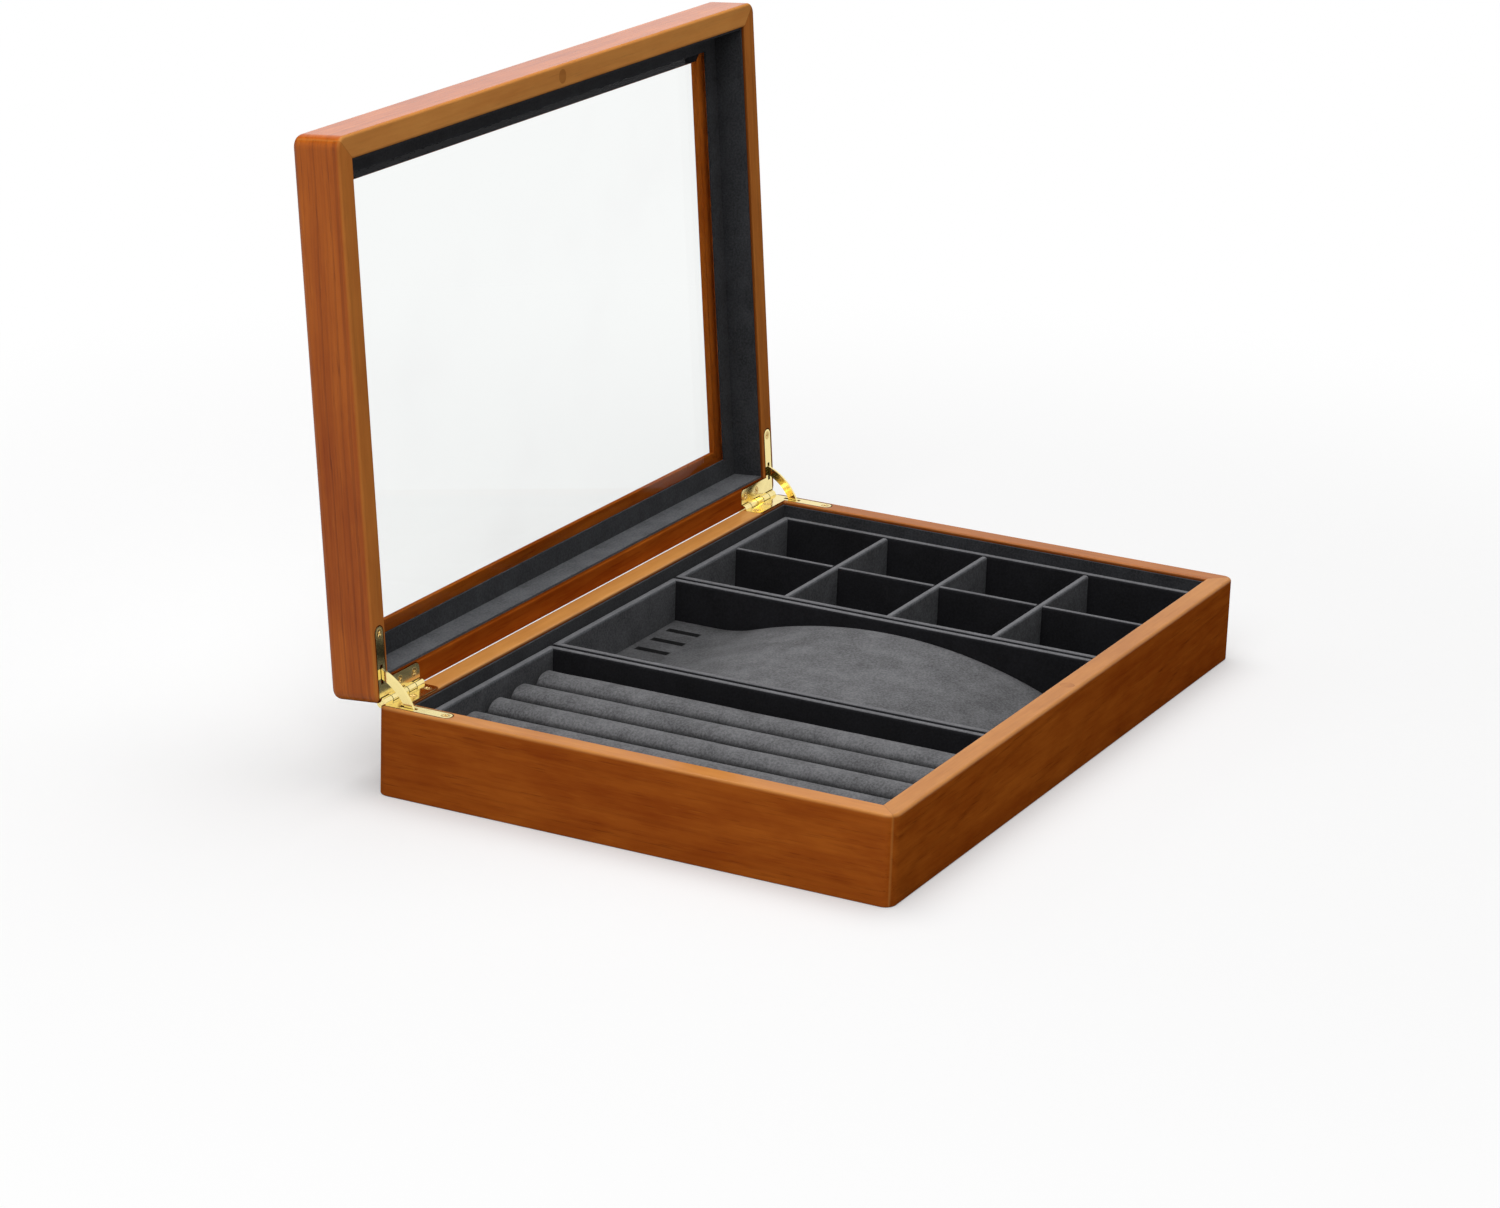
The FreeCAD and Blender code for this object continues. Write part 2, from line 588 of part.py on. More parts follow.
# Stays: curved strips with a stop pin near each end
stay_bar = arc_bar("stay_bar", span("(dims.stay_thick / 2)", f"-{ARM_X}"),
                   span("(dims.stay_width / 2)", f"({AXIS_Y} - dims.stay_reach)"), STAY_CENTRE_Y,
                   f"2 * {STAY_BOW}")
stop_pins = [
    cross_cylinder(f"{place}_stop_pin", *span("(dims.stop_pin_length / 2)", f"-{ARM_X}"),
                   f"{STAY_CENTRE_Y} - dims.stay_bow_radius * cos({STOP_BOW})",
                   f"{AXIS_Z} {sign} dims.stay_bow_radius * sin({STOP_BOW})", "dims.stop_pin_radius")
    for place, sign in (("lower", "-"), ("upper", "+"))]
left_stay = swing(node(fuse("left_stay", [stay_bar] + stop_pins), "left_stay"), STAY_TURN_SHARE)
node(mirror("right_stay", left_stay), "right_stay")


def tray(name):
    """A velvet-covered tray: a floor board inside four mitred walls with rounded top edges."""
    centre = TRAY_CENTRES[name]
    ring = new_body(name + "_ring")
    add_block(ring, name + "_stock", span(f"({TRAY_X} / 2)", centre), span(TRAY_Y), (TRAY_LOW, TRAY_TOP))
    round_edges(ring, name + "_corners", "dims.tray_corner_round", upright)
    cut_block(ring, name + "_hollow", span(TRAY_INNER_X, centre), span(TRAY_INNER_Y),
              (f"{TRAY_LOW} - dims.overrun", f"{TRAY_TOP} + dims.overrun"))
    round_edges(ring, name + "_edges", "dims.tray_edge_round", level_at(TRAY_TOP))
    sides = mitred_sides(name, ring, f"({TRAY_X} / 2)", TRAY_Y, "(dims.tray_wall + dims.overrun)",
                         (f"{TRAY_LOW} - dims.overrun", f"{TRAY_TOP} + dims.overrun"), centre)
    for side, wall in sides.items():
        node(wall, f"{name}_{side}_wall")
    board(name + "_floor", span(TRAY_INNER_X, centre), span(TRAY_INNER_Y), (TRAY_LOW, TRAY_FLOOR_TOP))
    return centre


# Ring tray: foam rolls, flat where they rest and where they press on each other, round at the ends
ring_centre = tray("ring_tray")
ROLL_PITCH = f"(2 * {TRAY_INNER_X} / {ROLLS})"
ROLL_HALF = f"(({ROLL_PITCH} - dims.roll_gap) / 2)"
ROLL_END = f"({TRAY_INNER_Y} - dims.roll_end_gap)"
ROLL_RADIUS = f"({ROLL_HALF} + dims.roll_press)"
ROLL_Z = f"({TRAY_FLOOR_TOP} + {ROLL_RADIUS} - dims.roll_sink)"
ROLL_REACH = f"({ROLL_RADIUS} + dims.overrun)"
for index in range(ROLLS):
    name = f"ring_roll_{index + 1}"
    roll_x = f"({ring_centre} + {index - (ROLLS - 1) / 2} * {ROLL_PITCH})"
    roll = new_body(name)
    bar = roll.newObject("PartDesign::AdditiveCylinder", name + "_bar")
    bar.Placement = FreeCAD.Placement(ORIGIN, ALONG_Y)
    bind(bar, {"Placement.Base.x": roll_x, "Placement.Base.y": f"-{ROLL_END}", "Placement.Base.z": ROLL_Z,
               "Radius": ROLL_RADIUS, "Height": f"2 * {ROLL_END}"})
    whole_y = span(f"({ROLL_END} + dims.overrun)")
    whole_z = span(ROLL_REACH, ROLL_Z)
    cut_block(roll, name + "_rest", span(ROLL_REACH, roll_x), whole_y, (whole_z[0], TRAY_FLOOR_TOP))
    cut_block(roll, name + "_left_flank", (f"{roll_x} - {ROLL_REACH}", f"{roll_x} - {ROLL_HALF}"),
              whole_y, whole_z)
    cut_block(roll, name + "_right_flank", (f"{roll_x} + {ROLL_HALF}", f"{roll_x} + {ROLL_REACH}"),
              whole_y, whole_z)
    round_edges(roll, name + "_ends", "dims.roll_end_round",
                lambda edge: edge.BoundBox.YLength < TOLERANCE)
    node(roll, name)

# Necklace tray: an arched pad, low at the back where the slits hold the chains
neck_centre = tray("necklace_tray")
PAD_X = f"({TRAY_INNER_X} - dims.pad_clear)"
PAD_BACK = f"({TRAY_INNER_Y} - dims.pad_clear)"
HUMP_Y = "(-dims.pad_crest_forward)"
HUMP_Z = f"({TRAY_FLOOR_TOP} + dims.pad_crest - dims.pad_hump_radius)"
HOLLOW_Z = f"({TRAY_FLOOR_TOP} + dims.pad_low + dims.pad_hollow_radius)"
RADII = "(dims.pad_hump_radius + dims.pad_hollow_radius)"
RISE = "(dims.pad_crest - dims.pad_low)"
HOLLOW_Y = f"({HUMP_Y} + sqrt(2 * {RADII} * {RISE} - {RISE} * {RISE}))"
HUMP_SHARE = f"(dims.pad_hump_radius / {RADII})"
MEET_Y = f"({HUMP_Y} + ({HOLLOW_Y} - {HUMP_Y}) * {HUMP_SHARE})"
MEET_Z = f"({HUMP_Z} + ({HOLLOW_Z} - {HUMP_Z}) * {HUMP_SHARE})"
NOSE_Y = f"(dims.pad_front_gap - {TRAY_INNER_Y})"
pad_span = span(PAD_X, neck_centre)
hump = common("pad_hump", cross_cylinder("pad_hump_round", *pad_span, HUMP_Y, HUMP_Z, "dims.pad_hump_radius"),
              box("pad_hump_block", pad_span, (NOSE_Y, MEET_Y),
                  (TRAY_FLOOR_TOP, f"{TRAY_FLOOR_TOP} + dims.pad_crest + dims.overrun")))
hollow = cut("pad_hollow", box("pad_hollow_block", pad_span, (MEET_Y, HOLLOW_Y), (TRAY_FLOOR_TOP, MEET_Z)),
             cross_cylinder("pad_hollow_round", *span(f"({PAD_X} + dims.overrun)", neck_centre),
                            HOLLOW_Y, HOLLOW_Z, "dims.pad_hollow_radius"))
flat = box("pad_flat", pad_span, (HOLLOW_Y, PAD_BACK), (TRAY_FLOOR_TOP, f"{TRAY_FLOOR_TOP} + dims.pad_low"))
slits = []
for index in range(SLITS):
    slit_x = f"({neck_centre} + {index - (SLITS - 1) / 2} * dims.slit_spacing)"
    slit_back = f"({PAD_BACK} - dims.slit_inset)"
    slits.append(box(f"slit_{index + 1}", span("(dims.slit_width / 2)", slit_x),
                     (f"{slit_back} - dims.slit_length", slit_back),
                     (f"{TRAY_FLOOR_TOP} + dims.pad_low - dims.slit_depth",
                      f"{TRAY_FLOOR_TOP} + dims.pad_low + dims.overrun")))
node(cut("necklace_pad", fuse("pad_whole", [hump, hollow, flat]), fuse("slits", slits)), "necklace_pad")

# Compartment tray: a long divider and cross dividers, halved over each other
box_centre = tray("compartment_tray")
DIVIDER_TOP = f"({TRAY_TOP} - dims.divider_drop)"
DIVIDER_MID = f"(({TRAY_FLOOR_TOP} + {DIVIDER_TOP}) / 2)"
LAP_HALF = "(dims.divider_thick / 2 + dims.divider_clear)"
CROSS_ROWS = range(1, COMPARTMENT_ROWS)
CROSS_YS = [f"((2 * {row} / {COMPARTMENT_ROWS} - 1) * {TRAY_INNER_Y})" for row in CROSS_ROWS]
divider_top_edge = level_at(DIVIDER_TOP)

long_divider = new_body("long_divider")
add_block(long_divider, "long_stock", span("(dims.divider_thick / 2)", box_centre),
          span(f"({TRAY_INNER_Y} - dims.divider_clear)"), (TRAY_FLOOR_TOP, DIVIDER_TOP))
round_edges(long_divider, "long_edges", "dims.divider_round",
            lambda edge: divider_top_edge(edge) and edge.BoundBox.YLength > edge.BoundBox.XLength)
for row, cross_y in zip(CROSS_ROWS, CROSS_YS):
    cut_block(long_divider, f"long_lap_{row}", span("dims.overrun", box_centre), span(LAP_HALF, cross_y),
              (DIVIDER_MID, f"{DIVIDER_TOP} + dims.overrun"))
node(long_divider, "long_divider")

cross_bodies = []
for row, cross_y in zip(CROSS_ROWS, CROSS_YS):
    cross = new_body(f"cross_divider_{row}")
    add_block(cross, f"cross_stock_{row}", span(f"({TRAY_INNER_X} - dims.divider_clear)", box_centre),
              span("(dims.divider_thick / 2)", cross_y), (TRAY_FLOOR_TOP, DIVIDER_TOP))
    round_edges(cross, f"cross_edges_{row}", "dims.divider_round",
                lambda edge: divider_top_edge(edge) and edge.BoundBox.XLength > edge.BoundBox.YLength)
    cut_block(cross, f"cross_lap_{row}", span(LAP_HALF, box_centre), span("dims.overrun", cross_y),
              (f"{TRAY_FLOOR_TOP} - dims.overrun", DIVIDER_MID))
    cross_bodies.append(cross)
node(group("cross_dividers", cross_bodies), "cross_dividers")

doc.recompute()
for thing in doc.Objects:
    if "Invalid" in thing.State or "Error" in thing.State:
        raise RuntimeError(f"{thing.Label} did not build: {thing.State}")
for piece in nodes:
    if piece.Shape.isNull() or not piece.Shape.isValid() or not piece.Shape.Solids:
        raise RuntimeError(f"{piece.Label} has no sound solid")

os.makedirs("parts", exist_ok=True)
for piece in nodes:
    piece.Shape.exportStep(f"parts/{piece.Label}.step")
    print(f"{piece.Label}: {len(piece.Shape.Solids)} solid, {piece.Shape.Volume:.0f} mm3")
print(len(nodes), "nodes")
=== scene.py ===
"""Dresses the jewelry box: lacquered wood, charcoal velvet, polished brass and clear glass, with soft
ring rolls and a necklace pad in its trays, on a pale floor under soft studio light."""

import json
import math

import bpy
import numpy as np
from mathutils import Matrix, Vector


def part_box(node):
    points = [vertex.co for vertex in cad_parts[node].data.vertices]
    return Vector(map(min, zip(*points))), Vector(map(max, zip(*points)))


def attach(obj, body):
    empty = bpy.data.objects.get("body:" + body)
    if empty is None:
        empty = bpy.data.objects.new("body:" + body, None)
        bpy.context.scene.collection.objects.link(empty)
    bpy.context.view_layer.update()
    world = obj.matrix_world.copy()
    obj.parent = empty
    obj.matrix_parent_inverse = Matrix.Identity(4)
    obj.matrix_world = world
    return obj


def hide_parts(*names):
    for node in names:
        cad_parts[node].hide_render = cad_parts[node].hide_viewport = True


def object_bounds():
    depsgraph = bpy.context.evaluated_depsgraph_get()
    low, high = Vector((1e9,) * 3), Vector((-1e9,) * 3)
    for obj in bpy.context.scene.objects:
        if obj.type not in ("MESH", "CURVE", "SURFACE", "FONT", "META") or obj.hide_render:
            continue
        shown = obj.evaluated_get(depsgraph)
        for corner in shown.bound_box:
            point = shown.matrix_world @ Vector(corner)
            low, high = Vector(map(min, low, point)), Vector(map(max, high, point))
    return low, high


bl_info = {
    "name": "Jewelry box dressing",
    "version": (1, 0, 0),
    "blender": (4, 5, 0),
    "location": "View3D > Sidebar > Jewelry box",
    "description": "Gives a wooden jewelry box its finishes, soft pieces and studio stage",
    "category": "Object",
}

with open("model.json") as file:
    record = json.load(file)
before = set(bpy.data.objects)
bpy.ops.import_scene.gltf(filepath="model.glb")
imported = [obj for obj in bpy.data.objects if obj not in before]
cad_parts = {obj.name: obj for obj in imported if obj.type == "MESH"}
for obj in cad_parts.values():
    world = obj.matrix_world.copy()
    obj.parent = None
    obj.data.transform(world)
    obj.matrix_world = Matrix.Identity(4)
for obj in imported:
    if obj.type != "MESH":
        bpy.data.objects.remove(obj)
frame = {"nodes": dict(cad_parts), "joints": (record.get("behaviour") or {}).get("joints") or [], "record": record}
CAD_BOX = [list(corner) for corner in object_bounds()]
MM = 0.001
FULL_TURN = 2 * math.pi

# The case in metres. Heights on the lid are those of the shut lid.
HALF_LENGTH, HALF_DEPTH = -CAD_BOX[0][0], -CAD_BOX[0][1]
HINGE = next(joint for joint in frame["joints"] if joint["name"] == "lid_hinge")
HINGE_Y, HINGE_Z = HINGE["pos_m"][1:]
SHUT_TURN = math.radians(HINGE["range_deg"][1])
FRONT_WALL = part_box("base_front_wall")
WALL = FRONT_WALL[1].y - FRONT_WALL[0].y
BASE_TOP = FRONT_WALL[1].z
LID_HEIGHT = 22 * MM
FRAME_THICK = 6 * MM
FRAME_WIDTH = 24 * MM
GLASS_THICK = 3 * MM
CEILING = HINGE_Z + LID_HEIGHT - FRAME_THICK
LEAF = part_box("right_hinge_base_leaf")
LEAF_MIDDLE = HALF_LENGTH - WALL / 2
LEAF_HALF = LEAF[1].x - LEAF_MIDDLE

LACQUER_IOR = 1.3
GLASS_IOR = 1.12
QUARTER = -math.pi / 2
BOARDS = {
    # Turn of the grain, pith line (across, up, lean, slide), figure, stain (staining with painted shade and
    # painted light), wear (thinner staining on the rim with painted light), gloss, dark lip (painted shadow)
    "base_front_wall": (0, (-0.071, 0.006, 0.055, 0.31), 0.45, 0.79, 1.0, 0.0),
    "base_back_wall": (0, (0.066, 0.031, -0.050, 0.83), 0.6, 0.85, 1.5, 0.1),
    "base_left_wall": (QUARTER, (0.172, -0.140, 0.012, 0.47), 0.25, 0.92, 1.0, 0.1),
    "base_right_wall": (QUARTER, (-0.128, 0.012, 0.060, 1.21), 0.6, 0.8, 0.45, 0.1),
    "lid_front_rail": (0, (-0.071, 0.120, 0.035, 0.58), 0.5, 1.25, 1.3, 0.9, 1.0),
    "lid_back_rail": (0, (0.066, -0.020, 0.045, 1.57), 0.6, 0.8, 0.0, 0.1),
    "lid_left_rail": (QUARTER, (0.172, -0.150, 0.012, 0.95), 0.9, 1.15, 0.7, 0.8),
    "lid_right_rail": (QUARTER, (-0.128, 0.100, 0.030, 1.93), 0.6, 0.9, 0.5, 0.1),
    "base_magnet_plug": (0, (-0.09, 0.01, 0.02, 2.9), 0.5, 0.7, 0.8),
    "lid_magnet_plug": (0, (-0.09, 0.01, 0.02, 2.9), 0.5, 0.7, 0.8),
}

ROLLS = 5
SLITS = 6
ROLL_SIDES = 60
ROLL_RINGS = 60
ROLL_END_RINGS = 8
ROLL_MIDDLE = 0.47  # share of a roll's height at which it is widest
ROLL_WAVE, ROLL_RIPPLE = 61, 143  # radians per metre along a roll
ROLL_PHASE = 1.7  # radians by which the sway differs from one roll to the next
PAD_STEP = 2.2 * MM
PAD_EDGE_LINES = np.linspace(0.08, 0.92, 6)  # shares of the edge's radius
BACK_SHADE_REACH = (30 * MM, 75 * MM)  # from the middle: where the painted shade starts and where it is full
FRONT_SHADE_REACH = (40 * MM, 70 * MM)
SLIT_LIP = 0.22 * MM
SCREW_SIDES = 64
HEAD_RINGS = np.array([0.08, 0.14, 0.19, 0.26, 0.34, 0.44, 0.54, 0.60, 0.66, 0.80, 0.94, 1.0])
RECESS_SLOPE = 0.08 * MM
RECESS_TURN, RECESS_STEP = 0.4, 1.3  # radians, of the first recess and from one to the next

FLOOR_REACH = 9.0
SHADOW_REACH = 0.22
KEY_LAMP = (1.3, (-1.55, -0.35, 1.5))  # size and place
TOP_LAMP = (1.8, (0.2, 0.2, 2.1))
LAMP_TARGET = Vector((0, 0, 0.08))
CAMERA_PLACE = (-1.61021, -0.77151, 0.64329)
CAMERA_AZIMUTH = math.radians(-63.324)
CAMERA_ELEVATION = math.radians(18.335)
CAMERA_ROLL = -0.03604
WHITE = (1, 1, 1, 1)


def linear(red, green, blue):
    """Scene-linear colour of a display colour given as 0 to 255: ((c + 0.055) / 1.055) ^ 2.4."""
    return tuple(((value / 255 + 0.055) / 1.055) ** 2.4 for value in (red, green, blue))


def colour_property(name, description, default):
    return bpy.props.FloatVectorProperty(
        name=name, description=description, default=default, subtype="COLOR", size=3, min=0, max=1)


def length_property(name, description, default):
    return bpy.props.FloatProperty(
        name=name, description=description, default=default, min=0, unit="LENGTH", precision=5)


def share_property(name, description, default):
    return bpy.props.FloatProperty(
        name=name, description=description, default=default, min=0, max=1, subtype="FACTOR")


def number_property(name, description, default, unit="NONE"):
    return bpy.props.FloatProperty(name=name, description=description, default=default, unit=unit)


def group_property(group, name, description):
    return bpy.props.PointerProperty(type=group, name=name, description=description)


class WoodSettings(bpy.types.PropertyGroup):
    light: colour_property("Early wood", "Colour between the growth rings", linear(200, 108, 34))
    middle: colour_property("Body", "Main colour of the stained wood", linear(170, 76, 18))
    dark: colour_property("Late wood", "Colour of rings and pores", linear(90, 32, 6))
    panel: colour_property("Bottom panel", "Colour of the panel under the box", linear(120, 78, 44))
    ring_width: length_property("Ring width", "Usual distance from one growth ring to the next", 3.4 * MM)
    ring_contrast: share_property("Ring contrast", "How much darker the rings are", 0.28)
    pore_depth: length_property("Pore depth", "Depth of the open pores under the lacquer", 0.08 * MM)
    # Rims: a paler colour, partly thinner staining and partly painted light on the rims.
    rim: colour_property("Rim", "Colour along the rims, where the stain is thin", linear(224, 162, 88))
    rim_wear_and_light: share_property("Rim wear", "How thin the stain is along the rims", 0.60)
    # Painted shadow on the frame's lip beside the glass strips.
    lip: colour_property("Lip", "Colour of the frame's inner lip beside the glass strips", linear(34, 34, 37))
    # Painted shade on the wood's inner faces under the rim.
    inner_shade: share_property("Inner stain", "How much darker the wood's inner faces are", 0.55)
    rim_lacquer: share_property("Rim lacquer", "Weight of the clear coat on the base's rim", 0.55)
    lacquer_roughness: share_property("Lacquer roughness", "Roughness of the clear coat", 0.16)


class VelvetSettings(bpy.types.PropertyGroup):
    lining: colour_property("Lining", "Colour of the linings", linear(52, 53, 56))
    # Painted light: a lighter copy of the lining for the lid's back lining, which faces up when the lid is open.
    lit_lining: colour_property("Brushed lining", "Colour of a lining seen along its nap", linear(84, 85, 88))
    # Painted shade and painted light: walls that run front to back get a darker copy of the velvet and walls that
    # run across a lighter one, for how light falls on them.
    along: colour_property("Tray, along", "Colour of the tray walls from front to back", linear(25, 25, 28))
    across: colour_property("Tray, across", "Colour of the tray walls that run across", linear(82, 83, 86))
    edge: colour_property("Tray edge", "Colour of the cloth over the trays' top edges", linear(118, 118, 121))
    pad: colour_property("Padding", "Colour of the rolls and the pad", linear(98, 98, 100))
    fibre: length_property("Fibre size", "Size of one tuft of the pile", 1.0 * MM)
    cloud: length_property("Nap size", "Size of the patches where the pile leans one way", 15 * MM)
    sheen: share_property("Sheen", "Sheen at grazing angles", 0.05)


class MetalSettings(bpy.types.PropertyGroup):
    brass: colour_property("Brass", "Colour of the polished hinges", (0.93, 0.77, 0.33))
    tarnish: colour_property("Tarnish", "Colour of brass in the corners of the plates", (0.50, 0.33, 0.08))
    screw: colour_property("Screws", "Colour of the screws", (0.66, 0.47, 0.18))
    nickel: colour_property("Magnet", "Colour of the plated magnets", (0.72, 0.71, 0.69))
    polish: share_property("Roughness", "Roughness of the polished faces", 0.13)


class ScrewSettings(bpy.types.PropertyGroup):
    head: length_property("Head radius", "Radius of a countersunk head", 1.9 * MM)
    head_depth: length_property("Head depth", "Depth of the countersunk cone", 1 * MM)
    shank: length_property("Shank radius", "Radius of the screw under its head", 0.9 * MM)
    length: length_property("Length", "Length of a screw", 8 * MM)
    recess: length_property("Recess", "Depth of the cross recess", 0.55 * MM)
    recess_arm: length_property("Recess arm", "Half length of an arm of the cross", 1.15 * MM)
    recess_width: length_property("Recess width", "Half width of an arm of the cross", 0.26 * MM)
    arm_inset: length_property("Arm inset", "Distance of a screw from the round tip of a leaf", 2.8 * MM)
    row: length_property("Row", "Distance of the other screws from the hinge line", 5.6 * MM)
    end_inset: length_property("End inset", "Distance of the last screw from the leaf's end", 4 * MM)
    spacing: length_property("Spacing", "Distance from screw to screw", 11 * MM)


class SoftSettings(bpy.types.PropertyGroup):
    roll_top: number_property("Roll top", "Power of the superellipse over a roll; 2 is round", 2.4)
    roll_foot: number_property("Roll foot", "Power of the superellipse under a roll", 2.9)
    roll_end: length_property("Roll end", "Radius at which the cover is drawn in over a roll's end", 1.5 * MM)
    roll_sway: length_property("Roll sway", "Unevenness of the foam under the cover", 0.14 * MM)
    crease_start: length_property("Crease start", "Depth under the crest where the shade starts", 4.2 * MM)
    crease_reach: length_property("Crease reach", "Height over which that shade grows to full", 2.6 * MM)
    slack: length_property("Slack", "How much smaller a cover starts than it ends", 0.7 * MM)
    swell: length_property("Swell", "How far a point of a cover may move as it fills", 1.3 * MM)
    pressure: number_property("Pressure", "Pressure that fills a cover, in pascals", 900.0)
    frames: bpy.props.IntProperty(
        name="Frames", description="Frames in which a cover fills", default=20, min=2)
    pad_crest_forward: length_property("Crest", "Distance of the pad's crest in front of the middle", 5 * MM)
    pad_hump: length_property("Hump radius", "Radius of the pad's hump", 210 * MM)
    pad_hollow: length_property("Hollow radius", "Radius of the hollow behind the hump", 57 * MM)
    pad_low: length_property("Low part", "Height of the pad at the slits", 6.5 * MM)
    pad_edge: length_property("Pad edge", "Radius of the pad's long edges", 0.9 * MM)
    # Painted shade: the pad is darker towards its back and its front.
    back_shade: share_property("Back nap", "How much darker the unworn nap is at the pad's back", 0.48)
    front_shade: share_property("Front nap", "How much darker the unworn nap is at the pad's front", 0.16)
    slit_width: length_property("Slit width", "Width of a slit for a chain", 3.6 * MM)
    slit_length: length_property("Slit length", "Length of a slit", 15.5 * MM)
    slit_depth: length_property("Slit depth", "Depth of a slit", 4.5 * MM)
    slit_inset: length_property("Slit inset", "Distance of the slits from the back of the pad", 4 * MM)
    slit_spacing: length_property("Slit spacing", "Distance from one slit to the next", 14.4 * MM)


class StageSettings(bpy.types.PropertyGroup):
    floor: colour_property("Floor", "Colour of the floor", (0.90, 0.90, 0.90))
    bounce: colour_property("Floor bounce", "Colour of the light that the floor sends up", (0.42, 0.42, 0.42))
    floor_glow: share_property("Floor glow", "Share of plain white in the floor under the box", 0.30)
    floor_clear: length_property("Clear floor", "Distance at which the floor is plain white", 0.75)
    ambient: number_property("Ambient", "Strength of the light from all around", 0.25)
    key: number_property("Key power", "Power of the large lamp at the upper left, in watts", 14.0)
    top: number_property("Top power", "Power of the lamp overhead, in watts", 34.0)
    focal: number_property("Focal length", "Focal length for a sensor 36 mm wide", 107.15, "CAMERA")


class JewelryBoxSettings(bpy.types.PropertyGroup):
    wood: group_property(WoodSettings, "Wood", "Lacquered wood")
    velvet: group_property(VelvetSettings, "Velvet", "Lining and trays")
    metal: group_property(MetalSettings, "Metal", "Hinges, stays and magnets")
    screws: group_property(ScrewSettings, "Screws", "Screws of the hinges")
    soft: group_property(SoftSettings, "Soft pieces", "Rolls and pad")
    stage: group_property(StageSettings, "Stage", "Floor, light and camera")


class Flow:
    """A socket of a material's node tree. Arithmetic on it adds Math nodes to that tree."""

    def __init__(self, tree, socket=None):
        self.tree = tree
        self.socket = socket

    def node(self, kind, settings=None, sockets=None, output=0):
        """Add a node: first its settings, then the values or links of its sockets. Gives one output."""
        made = self.tree.nodes.new("ShaderNode" + kind)
        for name, value in (settings or {}).items():
            setattr(made, name, value)
        for name, value in (sockets or {}).items():
            if isinstance(value, Flow):
                self.tree.links.new(value.socket, made.inputs[name])
            else:
                made.inputs[name].default_value = value
        return Flow(self.tree, made.outputs[output])

    def other(self, output):
        """Another output of the node that this one comes from."""
        return Flow(self.tree, self.socket.node.outputs[output])

    def math(self, operation, *values):
        return self.node("Math", {"operation": operation}, dict(enumerate(values)))

    def __add__(self, value):
        return self.math("ADD", self, value)

    __radd__ = __add__

    def __sub__(self, value):
        return self.math("SUBTRACT", self, value)

    def __rsub__(self, value):
        return self.math("SUBTRACT", value, self)

    def __mul__(self, value):
        return self.math("MULTIPLY", self, value)

    __rmul__ = __mul__

    def __truediv__(self, value):
        return self.math("DIVIDE", self, value)

    def __pow__(self, value):
        return self.math("POWER", self, value)

    def __abs__(self):
        return self.math("ABSOLUTE", self)

    def smaller(self, value):
        return self.math("MINIMUM", self, value)

    def larger(self, value):
        return self.math("MAXIMUM", self, value)

    def step(self, low, high):
        """0 below low, 1 above high and a smooth step between; turned round where low is above high."""
        return self.node("MapRange", {"interpolation_type": "SMOOTHSTEP"},
                         {"Value": self, "From Min": low, "From Max": high})

    def stretched(self, along, across):
        """This place with X scaled by one number and both Y and Z by another."""
        return self.node("VectorMath", {"operation": "MULTIPLY"}, {0: self, 1: (along, across, across)})

    def noise(self, detail=2.0, roughness=0.5):
        return self.node("TexNoise", {"noise_dimensions": "3D"},
                         {"Vector": self, "Scale": 1.0, "Detail": detail, "Roughness": roughness})

    def blend(self, low, high):
        """A colour between two colours, by this value."""
        return self.node("Mix", {"data_type": "RGBA"}, {0: self, 6: low, 7: high}, 2)


def rgba(colour, share=1.0):
    """A colour, darkened or lightened by a share, as a colour socket takes it."""
    return (*(value * share for value in colour), 1)


def new_material(name):
    """A material with only its output, and a Flow on its node tree."""
    material = bpy.data.materials.new(name)
    material.use_nodes = True
    for node in list(material.node_tree.nodes):
        if node.bl_idname != "ShaderNodeOutputMaterial":
            material.node_tree.nodes.remove(node)
    return material, Flow(material.node_tree)


def close_material(material, surface):
    """Link a finished surface to the material's output."""
    output = next(n for n in material.node_tree.nodes if n.bl_idname == "ShaderNodeOutputMaterial")
    material.node_tree.links.new(surface.socket, output.inputs["Surface"])
    return material


def dress(node, material):
    """Give a CAD node's object one material."""
    mesh = frame["nodes"][node].data
    mesh.materials.clear()
    mesh.materials.append(material)


def shut_place(flow):
    """Object coordinates turned about the hinge line to where a point of the lid lies when it is shut."""
    cos, sin = math.cos(SHUT_TURN), math.sin(SHUT_TURN)
    turned_y, turned_z = cos * HINGE_Y - sin * HINGE_Z, sin * HINGE_Y + cos * HINGE_Z
    return flow.node("Mapping", None, {
        "Vector": flow.node("TexCoord", output="Object"), "Rotation": (SHUT_TURN, 0, 0),
        "Location": (0, HINGE_Y - turned_y, HINGE_Z - turned_z)})


